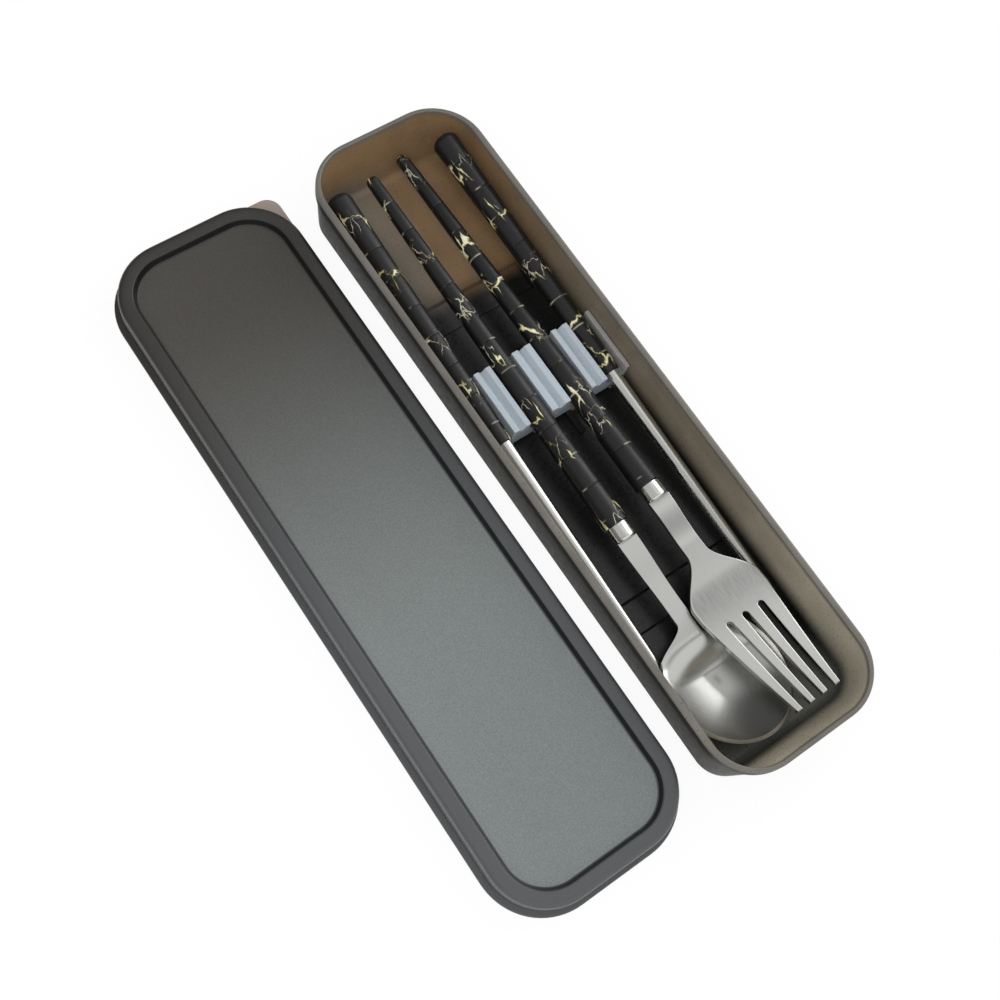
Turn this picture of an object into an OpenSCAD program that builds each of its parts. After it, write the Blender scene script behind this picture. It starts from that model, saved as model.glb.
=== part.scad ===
// Portable chopstick case: a tray with a clip insert, a pair of chopsticks, a spoon, a fork and a loose lid.
// X runs across the case, +Y towards the ends of the handles and +Z up.
// The origin lies under the middle of the whole set, on the table that the tray and the lid stand on.

/* [Chopsticks] */
// Length of a chopstick
stick_l = 208; // [190:1:230]
// Length of a chopstick's handle
stick_handle_l = 94.6; // [88:0.2:99]
// Diameter of the handle at its thick end
stick_end_d = 8.6; // [7.6:0.1:9]
// Diameter of the handle where the steel starts
stick_joint_d = 5.8; // [5.4:0.1:6.4]
// Diameter of the steel shaft at the handle
shaft_d = 4.9; // [4.4:0.1:5.2]
// Diameter of the steel shaft at its tip
shaft_tip_d = 2.4; // [2:0.1:3]
// Length of the shaft's tang inside the handle
shaft_tang_l = 24; // [12:1:40]
// Diameter of the shaft's tang
shaft_tang_d = 3.2; // [2.4:0.1:3.6]
// How far the right chopstick lies behind the left one
stick_shift = 2.3; // [0:0.1:2.8]
// Turn of the right chopstick in its slot, seen from above
stick_yaw = 0.6; // [0:0.1:0.7]

/* [Cutlery handles] */
// Length of the spoon's and the fork's handle
handle_l = 134.6; // [124:0.2:144]
// Diameter of the handle at its free end
handle_end_d = 4.2; // [3.6:0.1:5]
// Diameter of the handle at the collar
handle_collar_d = 8.4; // [7.6:0.1:9]
// Length of the steel collar
collar_l = 5.6; // [4:0.1:8]
// Diameter of the steel collar
collar_d = 7.2; // [6.8:0.1:8]
// Length of the flat tang behind the collar
tang_l = 16; // [8:1:30]
// Width of the flat tang
tang_w = 3.2; // [2.4:0.1:3.6]
// Thickness of the flat tang
tang_t = 1.8; // [1.2:0.1:2]
// Distance between the ring lines on every handle
ring_pitch = 11; // [8:0.5:16]
// Depth of a ring line
ring_depth = 0.14; // [0.08:0.02:0.2]

/* [Spoon] */
// Length of the spoon from its collar to its tip
spoon_head_l = 69; // [64:0.5:75]
// Length of the bowl
bowl_l = 40.5; // [37:0.5:44]
// Width of the bowl
bowl_w = 36.2; // [32:0.2:36.6]
// Depth of the bowl
bowl_depth = 6.4; // [5:0.1:7.4]
// Thickness of the bowl
bowl_t = 1.2; // [0.8:0.1:1.6]
// How far the bowl's tip rises above the line of the handle
bowl_rise = 5.6; // [4:0.1:7]
// Width of the spoon's neck at the collar
spoon_neck_w = 6.8; // [6:0.1:7.4]
// Width of the spoon's neck where it is narrowest
spoon_waist_w = 5.5; // [4.5:0.1:6.5]
// Thickness of both necks
neck_t = 2.2; // [1.8:0.1:2.6]
// Distance from the far end of the tray's floor to the spoon's free end
spoon_end_gap = 4.2; // [3:0.1:6]
// Turn of the spoon in its slot, seen from above
spoon_yaw = 0.3; // [0:0.1:0.4]

/* [Fork] */
// Length of the fork from its collar to the tips of its tines
fork_head_l = 73.6; // [67:0.2:79]
// Width of the fork across its shoulders
fork_w = 25.2; // [22:0.2:27]
// Width of the fork across the tips of its tines
fork_tip_w = 16; // [14:0.2:18]
// Width of the fork's neck at the collar
fork_neck_w = 7.4; // [6.4:0.1:7.6]
// Width of the fork's neck where it is narrowest
fork_waist_w = 6.9; // [5.5:0.1:7.2]
// Thickness of the fork's head
fork_t = 1.8; // [1.4:0.1:2.2]
// Length of the slots between the tines
slot_l = 32; // [26:0.5:36]
// Width of a slot at its round end
slot_root_w = 2.2; // [1.8:0.1:2.6]
// Width of a tine at its tip
tine_tip_w = 1.7; // [1.3:0.1:2.1]
// How far the fork's neck dips below the line of the handle
fork_dip = 1.6; // [0.8:0.1:2.4]
// How far the tines rise from the dip to their tips
fork_rise = 7.5; // [6.4:0.1:7.8]
// Distance from the far end of the tray's floor to the fork's free end, less than 0 under the sloping wall
fork_end_gap = -0.7; // [-1:0.1:2]
// Turn of the fork in its slot, seen from above
fork_yaw = 0.4; // [0:0.1:0.5]

/* [Clip insert] */
// Length of the clip along the case
clip_l = 22.5; // [16:0.5:26]
// Distance from the far end of the tray's floor to the middle of the clip
clip_from_end = 88.2; // [82:0.2:92]
// Width of the middle block
mid_block_w = 7; // [6:0.1:8.5]
// Width of each side block
side_block_w = 6.1; // [5:0.1:7.5]
// Thickness of the outer fins beside the chopsticks
fin_t = 1.3; // [1:0.1:2]
// Height of the blocks above the tray's floor
block_h = 11.6; // [10.5:0.1:13]
// Height of the chopsticks' seats above the tray's floor
stick_seat_h = 4.8; // [4.2:0.1:5.4]
// Height of the cutlery's seats above the tray's floor
cutlery_seat_h = 5.6; // [5:0.1:6.2]
// Depth of the notch along the top of each block
notch_depth = 1.8; // [1:0.1:2.4]
// Width of the notch along the top of each block
notch_w = 2.6; // [1.6:0.1:3]
// Height of the arches under the clip
arch_h = 2.7; // [2.2:0.1:3.2]

/* [Tray] */
// Thickness of the tray's walls and floor
tray_wall = 1.5; // [1.2:0.1:2]
// Height of the tray, from the table to the top of the rim
tray_h = 23.8; // [23:0.2:28]
// Height of the two cross feet
foot_h = 1.2; // [0.8:0.1:1.8]
// Width of a cross foot along the case
foot_w = 12.5; // [9:0.5:16]
// Distance from the middle of the tray to the middle of each foot
foot_y = 56; // [50:1:62]
// Slope of the long walls, sideways per height
side_slope = 0.055; // [0.03:0.005:0.1]
// Slope of the end walls, sideways per height
end_slope = 0.24; // [0.2:0.005:0.3]
// Corner radius of the rim
rim_r = 17.2; // [15:0.2:20]
// Corner radius of the floor
floor_corner_r = 8; // [5:0.1:9]
// Height of the rim
rim_h = 3.9; // [3:0.1:5]
// How far the rim stands out from the wall below it
rim_out = 0.9; // [0.6:0.05:1.4]
// Play between each end of the floor and the chopsticks
end_play = 2.8; // [2.5:0.1:5]
// Play added to the floor's length for the spoon's and the fork's heads
head_play = 0.8; // [0.5:0.1:3]
// Radius where the floor meets the walls
floor_r = 2; // [1.2:0.1:2.6]
// Height of the two rails that the clip sits over
rail_h = 2.3; // [1.6:0.1:2.6]
// How far the rails run on past the near end of the clip
rail_over = 8; // [4:0.5:12]
// Thickness of a rail
rail_t = 2; // [1.4:0.1:2.6]

/* [Lid] */
// Height of the lid
lid_h = 9.6; // [9:0.1:11]
// Thickness of the lid
lid_t = 1.5; // [1.2:0.1:1.8]
// Thickness of the lid's skirt
skirt_t = 1.2; // [1:0.1:1.6]
// How far the flange stands out from the skirt
flange_out = 1.8; // [1:0.05:2.2]
// Thickness of the flange and of the pull tab
flange_t = 1.4; // [1:0.1:1.8]
// Width of the raised rim around the panel
bead_w = 4.6; // [3.8:0.1:5.4]
// Depth of the sunk panel
panel_depth = 2.5; // [1.5:0.1:3]
// Run of the slope between the rim and the panel
panel_slope = 1.4; // [0.8:0.1:2]
// How far the snap bead stands in from the skirt
snap_in = 0.45; // [0.3:0.05:0.6]
// Corner radius of the pull tab
tab_r = 5; // [3:0.5:8]
// Gap on the table between the tray's rim and the lid's flange
table_gap = 3.5; // [2:0.1:10]
// How far the lid lies behind the tray
lid_shift = 4.1; // [0:0.1:8]

/* [Clearances] */
// Gap between a handle and the sides of its slot in the clip
grip_gap = 0.36; // [0.25:0.01:0.45]
// Gap between a piece that can be lifted out and its seat
seat_gap = 0.3; // [0.2:0.05:0.4]
// Gap between the fork and the bowl that it lies over
rest_gap = 0.5; // [0.4:0.05:0.8]
// Gap between the lid's skirt and the tray's rim
lid_gap = 0.25; // [0.15:0.01:0.4]
// Gap between the clip and the tray's walls and rails
fit_gap = 0.25; // [0.15:0.01:0.35]
// Glue gap around the tangs
glue_gap = 0.05; // [0.03:0.01:0.1]

/* [Hidden] */
$fn = 48;

smoke = [0.36, 0.33, 0.29];
smoke_lid = [0.3, 0.3, 0.29];
pale_grey = [0.68, 0.72, 0.76];
black = [0.1, 0.11, 0.12];
steel = [0.78, 0.78, 0.76];

// Levels
floor_z = foot_h + tray_wall;
rim_z = tray_h - rim_h;
stick_seat_z = floor_z + stick_seat_h;
cutlery_seat_z = floor_z + cutlery_seat_h;
block_z = floor_z + block_h;

// A smooth step from 0 to 1
function smooth(t) = let (c = min(1, max(0, t))) c * c * (3 - 2 * c);
// A straight run from a to b
function mix(a, b, t) = a + (b - a) * t;

// Chopsticks: the tip lies on the floor, and the mouth of the handle lies on its seat in the clip
shaft_l = stick_l - stick_handle_l;
stick_tip_z = floor_z + seat_gap + shaft_tip_d / 2;
stick_joint_z = stick_seat_z + seat_gap + stick_joint_d / 2;
stick_tilt = asin((stick_joint_z - stick_tip_z) / shaft_l);

// The floor is long enough for the chopsticks, the spoon and the fork
spoon_l = handle_l + collar_l + spoon_head_l;
fork_l = handle_l + collar_l + fork_head_l;
floor_half = max(
    (stick_l + stick_shift) / 2 + end_play,
    (spoon_l + spoon_end_gap) / 2 + head_play,
    (fork_l + fork_end_gap) / 2 + head_play
);
clip_y = floor_half - clip_from_end;
clip_near = clip_y - clip_l / 2;
clip_far = clip_y + clip_l / 2;

// Distance from the clip's middle to each free end, along the piece
stick_far = floor_half - end_play - clip_y;
spoon_far = floor_half - spoon_end_gap - clip_y;
fork_far = floor_half - fork_end_gap - clip_y;

// Radius of a handle at a distance from its free end
function stick_r(s) = mix(stick_end_d, stick_joint_d, s / stick_handle_l) / 2;
function handle_r(s) = mix(handle_end_d, handle_collar_d, s / handle_l) / 2;

// Slots in the clip take the thickest stretch of handle that lies in them
stick_slot_r = stick_r(stick_far - stick_shift - clip_l / 2) + grip_gap;
cutlery_slot_r = handle_r(max(spoon_far, fork_far) + clip_l / 2) + grip_gap;
cutlery_x = mid_block_w / 2 + cutlery_slot_r;
stick_x = cutlery_x + cutlery_slot_r + side_block_w + stick_slot_r;
fin_x = stick_x + stick_slot_r + fin_t;

// Height of each handle's line at the clip's middle
function stick_clip_z(far) = stick_joint_z + (stick_handle_l - far) * sin(stick_tilt);
cutlery_near_z = cutlery_seat_z + seat_gap + cutlery_slot_r - grip_gap;

// Width and length of the tray's rim, from the clip and the chopsticks outwards
wall_at_stick = fin_x + fit_gap;
inner_base_w = wall_at_stick - side_slope * (stick_joint_z - floor_z);
rim_half_w = inner_base_w + tray_wall + side_slope * (rim_z - floor_z) + rim_out;
rim_half_l = floor_half + tray_wall + end_slope * (rim_z - floor_z) + rim_out;

// Lid, seen from its own middle
skirt_in = lid_gap;
skirt_out = skirt_in + skirt_t;
lid_half_w = rim_half_w + skirt_out + flange_out;
lid_half_l = rim_half_l + skirt_out + flange_out;
lid_r = rim_r + skirt_out + flange_out;
lid_x = -rim_half_w - table_gap - lid_half_w;

// Middle of the whole set, seen from the middle of the tray
set_x = (lid_x - lid_half_w + rim_half_w) / 2;
set_y = (max(rim_half_l, lid_shift + lid_half_l) - max(rim_half_l, lid_half_l - lid_shift)) / 2;
module from_tray() {
    translate([-set_x, -set_y, 0]) children();
}

// Lofts through rounded rectangles
corner_steps = 10;
function rounded_ring(hw, hl, r, z) = [
    for (c = [[1, 1, 0], [-1, 1, 90], [-1, -1, 180], [1, -1, 270]])
        for (k = [0 : corner_steps])
            let (a = c[2] + 90 * k / corner_steps)
                [c[0] * (hw - r) + r * cos(a), c[1] * (hl - r) + r * sin(a), z]
];
function band_faces(rings, n) = [
    for (i = [0 : rings - 2])
        for (j = [0 : n - 1])
            let (a = i * n + j, b = i * n + (j + 1) % n)
                for (f = [[a, a + n, b], [b, a + n, b + n]]) f
];
// Rings run from the first cap over the outside to the last cap; each cap is laid out in strips
module ring_loft(rings) {
    n = len(rings[0]);
    last = (len(rings) - 1) * n;
    polyhedron(
        points = [for (ring = rings) each ring],
        faces = concat(
            [for (j = [0 : n / 2 - 2]) [j, j + 1, n - 2 - j, n - 1 - j]],
            band_faces(len(rings), n),
            [for (j = [0 : n / 2 - 2]) [last + n - 1 - j, last + n - 2 - j, last + j + 1, last + j]]
        ),
        convexity = 6
    );
}

// Points of a quarter round, from angle a to angle b
function round_points(cx, cz, r, a, b, steps = 4) = [
    for (k = [0 : steps]) let (t = mix(a, b, k / steps)) [cx + r * cos(t), cz + r * sin(t)]
];

// Tray: section points as [distance out from the floor's edge at floor level, height]
module tray_shell() {
    lip_r = (rim_out + tray_wall) * 0.35;
    outer_base = tray_wall - side_slope * tray_wall;
    // Sideways reach of a wall at height z, on its inside
    function reach(z, slope) = slope * (z - floor_z);
    // One ring at height z, moved out by o from the wall's inside
    function level(z, o) = let (
        hw = inner_base_w + reach(z, side_slope) + o,
        hl = floor_half + reach(z, end_slope) + o,
        r = mix(floor_corner_r, rim_r - rim_out - tray_wall, (z - floor_z) / (tray_h - floor_z)) + o
    ) rounded_ring(hw, hl, r, z);
    rim_outer = tray_wall + rim_out;
    function rim_level(z, o) = rounded_ring(rim_half_w - o, rim_half_l - o, rim_r - o, z);
    inner_edge = round_points(-floor_r, floor_z + floor_r, floor_r, 0, -90);
    outer_r = floor_r + tray_wall;
    outer_edge = round_points(outer_base - outer_r, foot_h + outer_r, outer_r, -90, 0);
    ring_loft(concat(
        [for (p = outer_edge) level(p[1], p[0])],
        [level(rim_z, tray_wall)],
        [rim_level(rim_z, 0), rim_level(tray_h - lip_r, 0)],
        [rim_level(tray_h - lip_r * 0.3, lip_r * 0.3), rim_level(tray_h, lip_r)],
        [level(tray_h, lip_r * 0.5), level(tray_h - lip_r, 0)],
        [for (p = inner_edge) level(p[1], p[0])]
    ));
}

// A bar across the tray with sloping sides, along X
module cross_bar(half_l, top_w, bottom_w, h) {
    rotate([90, 0, 90])
        linear_extrude(2 * half_l, center = true)
            polygon([[-top_w / 2, h], [-bottom_w / 2, 0], [bottom_w / 2, 0], [top_w / 2, h]]);
}

module rails() {
    for (side = [-1, 1])
        translate([side * (mid_block_w + rail_t) / 2 - rail_t / 2, clip_near - rail_over, foot_h])
            cube([rail_t, clip_l + 1.5 * rail_over, tray_wall + rail_h]);
}

module tray() {
    foot_half = inner_base_w - floor_r - 1;
    channel_half = foot_half - tray_wall;
    color(smoke)
        from_tray()
            difference() {
                union() {
                    tray_shell();
                    for (side = [-1, 1])
                        translate([0, side * foot_y, 0])
                            cross_bar(foot_half, foot_w + 2 * foot_h, foot_w, foot_h + tray_wall / 2);
                    rails();
                }
                for (side = [-1, 1])
                    translate([0, side * foot_y, tray_wall])
                        cross_bar(channel_half, foot_w, foot_w - 2 * tray_wall, foot_h + tray_wall);
            }
}

// Lid: one loft from the panel's underside down inside the skirt, round the flange and over the rim to the panel
module lid_shell() {
    bead_r = lid_t;
    panel_z = lid_h - panel_depth;
    bead_in = skirt_out - bead_w;
    panel_in = bead_in - panel_slope;
    plug_top = -rim_out - tray_wall - lid_gap;
    // One ring at height z, moved out by o from the tray's rim
    function level(z, o) = rounded_ring(rim_half_w + o, rim_half_l + o, rim_r + o, z);
    shoulder = round_points(skirt_out - bead_r, lid_h - bead_r, bead_r, 0, 90);
    edge = flange_t * 0.3;
    // The snap bead lies just under the tray's rim when the case is closed
    snap_z = lid_h - lid_t - rim_h - 1.5 * snap_in;
    ring_loft([
        for (p = concat(
            [[panel_in + lid_t * 0.6, panel_z - lid_t]],
            [[plug_top, lid_h - lid_t], [skirt_in, lid_h - lid_t]],
            [[skirt_in, snap_z + 1.2 * snap_in], [skirt_in - snap_in, snap_z], [skirt_in, snap_z - 2 * snap_in]],
            [[skirt_in, 0], [skirt_out + flange_out - edge, 0]],
            [[skirt_out + flange_out, edge], [skirt_out + flange_out, flange_t - edge]],
            [[skirt_out + flange_out - edge, flange_t], [skirt_out, flange_t]],
            shoulder,
            [[bead_in + 0.2, lid_h], [bead_in - 0.4, lid_h - 0.4], [panel_in, panel_z]]
        )) level(p[1], p[0])
    ]);
}

// Pull tab: the flange's far corner beside the tray, filled out
module pull_tab() {
    size = lid_r * 0.9;
    translate([lid_half_w - size, lid_half_l - size, 0])
        difference() {
            linear_extrude(flange_t)
                union() {
                    square([size, size - tab_r]);
                    square([size - tab_r, size]);
                    translate([size - tab_r, size - tab_r])
                        circle(tab_r);
                }
            translate([size - lid_r, size - lid_r, -flange_t])
                cylinder(r = lid_r - flange_out / 2, h = 3 * flange_t);
        }
}

module lid() {
    color(smoke_lid)
        from_tray()
            translate([lid_x, lid_shift, 0]) {
                lid_shell();
                pull_tab();
            }
}

// A slot that is open upwards, with a round seat
module slot_profile(x, seat_h, r) {
    translate([x, seat_h + r]) {
        circle(r);
        translate([-r, 0])
            square([2 * r, block_h]);
    }
}

// Section of the clip across the case, standing on the tray's floor
module clip_profile() {
    fin_top = inner_base_w + side_slope * block_h - fit_gap;
    foot = inner_base_w - floor_r - fit_gap;
    knee = inner_base_w + side_slope * floor_r - fit_gap;
    rail_out = mid_block_w / 2 + rail_t + fit_gap;
    leg_w = 2.4;
    difference() {
        polygon([
            [-foot, 0], [foot, 0], [knee, floor_r], [fin_top, block_h],
            [-fin_top, block_h], [-knee, floor_r]
        ]);
        for (side = [-1, 1]) {
            slot_profile(side * cutlery_x, cutlery_seat_h, cutlery_slot_r);
            slot_profile(side * stick_x, stick_seat_h, stick_slot_r);
            translate([side * (cutlery_x + cutlery_slot_r + side_block_w / 2), block_h])
                block_notch();
            translate([side * (rail_out + leg_w), -arch_h])
                mirror([side < 0 ? 1 : 0, 0])
                    square([foot - leg_w - rail_out - leg_w, 2 * arch_h]);
        }
        translate([0, block_h])
            block_notch();
        translate([-rail_out, -arch_h])
            square([2 * rail_out, 2 * arch_h]);
    }
}

module block_notch() {
    polygon([[-notch_w / 2, 0.01], [0, -notch_depth], [notch_w / 2, 0.01]]);
}

module clip_insert() {
    color(pale_grey)
        from_tray()
            translate([0, clip_far, floor_z])
                rotate([90, 0, 0])
                    linear_extrude(clip_l)
                        clip_profile();
}

// Places a piece in the clip: its free end lies at the origin of its own frame and it runs along -Y
module in_clip(x, z, tilt, yaw, far) {
    from_tray()
        translate([x, clip_y, z])
            rotate([tilt, 0, yaw])
                translate([0, far, 0])
                    children();
}

// A turned piece along -Y from its outline as [radius, distance]
module turned(outline) {
    rotate([90, 0, 0])
        rotate_extrude()
            polygon(outline);
}

// Ring lines cut into a tapered handle, from the free end on
ring_half = 0.3;
function ring_lines(r0, r1, l) = [
    for (s = [ring_pitch : ring_pitch : l - ring_pitch / 2])
        let (r = mix(r0, r1, s / l))
            for (p = [[r, s - ring_half], [r - ring_depth, s], [r, s + ring_half]]) p
];

// A handle from its free end to its mouth, with a blind hole for a tang
module handle_body(end_d, mouth_d, l, end_round, hole_d, hole_l) {
    lip = 0.3;
    turned(concat(
        [[0, 0]],
        [for (p = round_points(end_d / 2 - end_round, end_round, end_round, -90, 0)) p],
        ring_lines(end_d / 2, mouth_d / 2, l),
        [[mouth_d / 2, l - lip], [mouth_d / 2 - lip, l]],
        [[hole_d / 2, l], [hole_d / 2, l - hole_l], [0, l - hole_l]]
    ));
}

// Chopsticks
module stick_place(side) {
    far = stick_far + side * stick_shift / 2 - stick_shift / 2;
    in_clip(side * stick_x, stick_clip_z(far), stick_tilt, side > 0 ? stick_yaw : 0, far)
        children();
}

module stick_handle() {
    handle_body(
        stick_end_d, stick_joint_d, stick_handle_l, 1,
        shaft_tang_d + 2 * glue_gap, shaft_tang_l + 2 * glue_gap
    );
}

module stick_shaft() {
    tip_r = shaft_tip_d / 2;
    tip_round = tip_r * 0.8;
    turned(concat(
        [[0, stick_handle_l - shaft_tang_l], [shaft_tang_d / 2, stick_handle_l - shaft_tang_l]],
        [[shaft_tang_d / 2, stick_handle_l], [shaft_d / 2, stick_handle_l]],
        round_points(tip_r - tip_round, stick_l - tip_round, tip_round, 0, 90),
        [[0, stick_l]]
    ));
}

module left_chopstick_handle() {
    color(black) stick_place(-1) stick_handle();
}
module left_chopstick_shaft() {
    color(steel) stick_place(-1) stick_shaft();
}
module right_chopstick_handle() {
    color(black) stick_place(1) stick_handle();
}
module right_chopstick_shaft() {
    color(steel) stick_place(1) stick_shaft();
}

// Handle and collar that the spoon and the fork share
tang_hole_d = sqrt(tang_w * tang_w + tang_t * tang_t) + 2 * glue_gap;

module cutlery_handle() {
    handle_body(
        handle_end_d, handle_collar_d, handle_l, handle_end_d * 0.4,
        tang_hole_d, tang_l + 2 * glue_gap
    );
}

module cutlery_collar() {
    nose = 0.9;
    start = handle_l;
    end = handle_l + collar_l;
    r = collar_d / 2;
    turned(concat(
        [[tang_hole_d / 2, start], [r, start]],
        round_points(r - nose, end - nose, nose, 0, 90),
        [[tang_hole_d / 2, end]]
    ));
}

module flat_tang() {
    root = 1;
    translate([-tang_w / 2, -handle_l - collar_l - root, -tang_t / 2])
        cube([tang_w, tang_l + collar_l + root, tang_t]);
}

// Spoon: u is the distance from the collar's front face along the head
bowl_c = spoon_head_l - bowl_l / 2;
bowl_start = spoon_head_l - bowl_l;
spoon_dip = 0.6;
flare_l = 7;
landing_l = 6;
sink_l = 8;
function bowl_round(u) = max(0, 1 - pow((u - bowl_c) / (bowl_l / 2), 2));
function spoon_neck_half(u) = mix(spoon_neck_w, spoon_waist_w, smooth(u / (bowl_start * 0.8))) / 2;
function spoon_half(u) = let (
    n = spoon_neck_half(u),
    b = bowl_w / 2 * sqrt(bowl_round(u))
) u > bowl_c ? b : n + max(0, b - n) * smooth((u - bowl_start) / flare_l);
function spoon_rim(u) = let (t = max(0, (u - bowl_start + 2) / (bowl_l + 2)))
    (bowl_rise + spoon_dip) * pow(t, 1.4) - spoon_dip * smooth(u / bowl_start);
// The shoulders stay flat until the bowl sinks away in a bend
function spoon_sink(u) = bowl_depth * pow(bowl_round(u), 0.9) * smooth((u - bowl_start - landing_l) / sink_l);
function spoon_thick(u) = mix(neck_t, bowl_t, smooth((u - bowl_start * 0.4) / (bowl_start * 0.6)));

// The spoon tilts until its bowl lies on the left chopstick's shaft or on the floor
spoon_reach = spoon_far - handle_l - collar_l;
stick_v = stick_x - cutlery_x;
function shaft_top(y) = let (s = (y - clip_y + shaft_l + stick_handle_l - stick_far + stick_shift) / shaft_l)
    mix(stick_tip_z, stick_joint_z, s) + mix(shaft_tip_d, shaft_d, s) / 2;
function bowl_under(u, v) = let (h = spoon_half(u))
    spoon_rim(u) - spoon_sink(u) * (1 - pow(v / h, 2)) + neck_t / 2 - spoon_thick(u);
spoon_tilt = asin(min([
    for (k = [3 : 17])
        let (
            u = bowl_start + bowl_l * k / 20,
            y = clip_y + spoon_reach - u,
            over_floor = cutlery_near_z + bowl_under(u, 0) - floor_z,
            over_shaft = spoon_half(u) > stick_v ?
                cutlery_near_z + bowl_under(u, stick_v) - shaft_top(y) : over_floor
        ) (min(over_floor, over_shaft) - seat_gap) / (clip_near - y)
]));
spoon_clip_z = cutlery_near_z + clip_l / 2 * sin(spoon_tilt);

// Stations along the spoon's head, closer together towards the tip
spoon_stations = concat(
    [for (k = [0 : 7]) bowl_start * k / 7],
    [for (k = [1 : 20]) bowl_c - bowl_l / 2 * cos(9 + 168 * k / 20)]
);
across = 10;
function spoon_row(u, under) = let (h = spoon_half(u)) [
    for (j = [0 : across])
        let (
            v = h * (2 * j / across - 1),
            z = spoon_rim(u) - spoon_sink(u) * (1 - pow(v / h, 2)) + neck_t / 2
        ) [v, -handle_l - collar_l - u, z - under * spoon_thick(u)]
];
function spoon_section(u) = let (top = spoon_row(u, 0)) concat(
    spoon_row(u, 1), [for (j = [across : -1 : 0]) top[j]]
);

module spoon_place() {
    in_clip(-cutlery_x, spoon_clip_z, spoon_tilt, spoon_yaw, spoon_far) children();
}
module spoon_handle() {
    color(black) spoon_place() cutlery_handle();
}
module spoon_collar() {
    color(steel) spoon_place() cutlery_collar();
}
module spoon_bowl() {
    color(steel)
        spoon_place() {
            ring_loft([for (u = spoon_stations) spoon_section(u)]);
            flat_tang();
        }
}

// Fork: u is the distance from the collar's front face along the head
dip_l = 16;
rise_start = 28;
flare_start = 19;
shoulder_l = 15;
shoulder_end = 38;
function fork_line(u) = -fork_dip * smooth(u / dip_l)
    + fork_rise * pow(max(0, (u - rise_start) / (fork_head_l - rise_start)), 1.6);
function fork_thick(u) = mix(neck_t, fork_t, smooth(u / flare_start));
function fork_half(u) = let (
    waist = mix(fork_neck_w, fork_waist_w, smooth(u / 10)),
    body = mix(waist, fork_w, smooth((u - flare_start) / shoulder_l)),
    taper = max(0, (u - shoulder_end) / (fork_head_l - shoulder_end))
) mix(body, fork_tip_w, taper) / 2;

// The fork tilts until it lies over the rim of the spoon's bowl
function spoon_rim_z(y) = let (u = (clip_y - y) + spoon_far - handle_l - collar_l)
    spoon_clip_z - (clip_y - y) * sin(spoon_tilt) + spoon_rim(u) + neck_t / 2;
fork_reach = fork_far - handle_l - collar_l;
fork_far_z = cutlery_seat_z + seat_gap + handle_r(fork_far - clip_l / 2);
fork_tilt = -asin(max([
    for (u = [rise_start : 2 : fork_head_l - 10])
        let (
            y = clip_y + fork_reach - u,
            under = fork_line(u) - fork_thick(u) / 2
        ) (spoon_rim_z(y) + rest_gap - under - fork_far_z) / (clip_far - y)
]));
fork_clip_z = fork_far_z - clip_l / 2 * sin(fork_tilt);

fork_stations = concat([for (u = [0 : 2 : fork_head_l - 2]) u], [fork_head_l]);

// Side view of the head: a bent strip
module fork_strip() {
    polygon(concat(
        [for (u = fork_stations) [-u, fork_line(u) + fork_thick(u) / 2]],
        [for (k = [len(fork_stations) - 1 : -1 : 0])
            let (u = fork_stations[k]) [-u, fork_line(u) - fork_thick(u) / 2]]
    ));
}

// One slot between two tines, with a round end
module tine_slot(root_x, tip_x, tip_w) {
    root_u = fork_head_l - slot_l + slot_root_w / 2;
    translate([root_x, -root_u])
        circle(d = slot_root_w);
    polygon([
        [root_x - slot_root_w / 2, -root_u], [tip_x - tip_w / 2, -fork_head_l - 1],
        [tip_x + tip_w / 2, -fork_head_l - 1], [root_x + slot_root_w / 2, -root_u]
    ]);
}

// Top view of the head, with its slots
module fork_plan() {
    tip_pitch = (fork_tip_w - tine_tip_w) / 3;
    root_pitch = fork_half(fork_head_l - slot_l) / 2;
    difference() {
        polygon(concat(
            [for (u = fork_stations) [fork_half(u), -u]],
            [for (k = [len(fork_stations) - 1 : -1 : 0])
                let (u = fork_stations[k]) [-fork_half(u), -u]]
        ));
        for (k = [-1 : 1])
            tine_slot(k * root_pitch, k * tip_pitch, tip_pitch - tine_tip_w);
    }
}

module fork_place() {
    in_clip(cutlery_x, fork_clip_z, fork_tilt, fork_yaw, fork_far) children();
}
module fork_handle() {
    color(black) fork_place() cutlery_handle();
}
module fork_collar() {
    color(steel) fork_place() cutlery_collar();
}
module fork_head() {
    color(steel)
        fork_place() {
            translate([0, -handle_l - collar_l, 0])
                intersection() {
                    rotate([90, 0, 90])
                        linear_extrude(2 * fork_w, center = true)
                            fork_strip();
                    translate([0, 0, -fork_rise * 2])
                        linear_extrude(fork_rise * 4)
                            fork_plan();
                }
            flat_tang();
        }
}

tray();
lid();
clip_insert();
left_chopstick_handle();
left_chopstick_shaft();
right_chopstick_handle();
right_chopstick_shaft();
spoon_handle();
spoon_collar();
spoon_bowl();
fork_handle();
fork_collar();
fork_head();
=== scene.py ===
"""Portable chopstick case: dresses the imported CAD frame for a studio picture.

The tray, its clip, the lid, the chopsticks, the spoon and the fork are built as smooth meshes over their CAD
nodes, each on the body that carries it, and get the finishes of the real pieces.
"""

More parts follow.
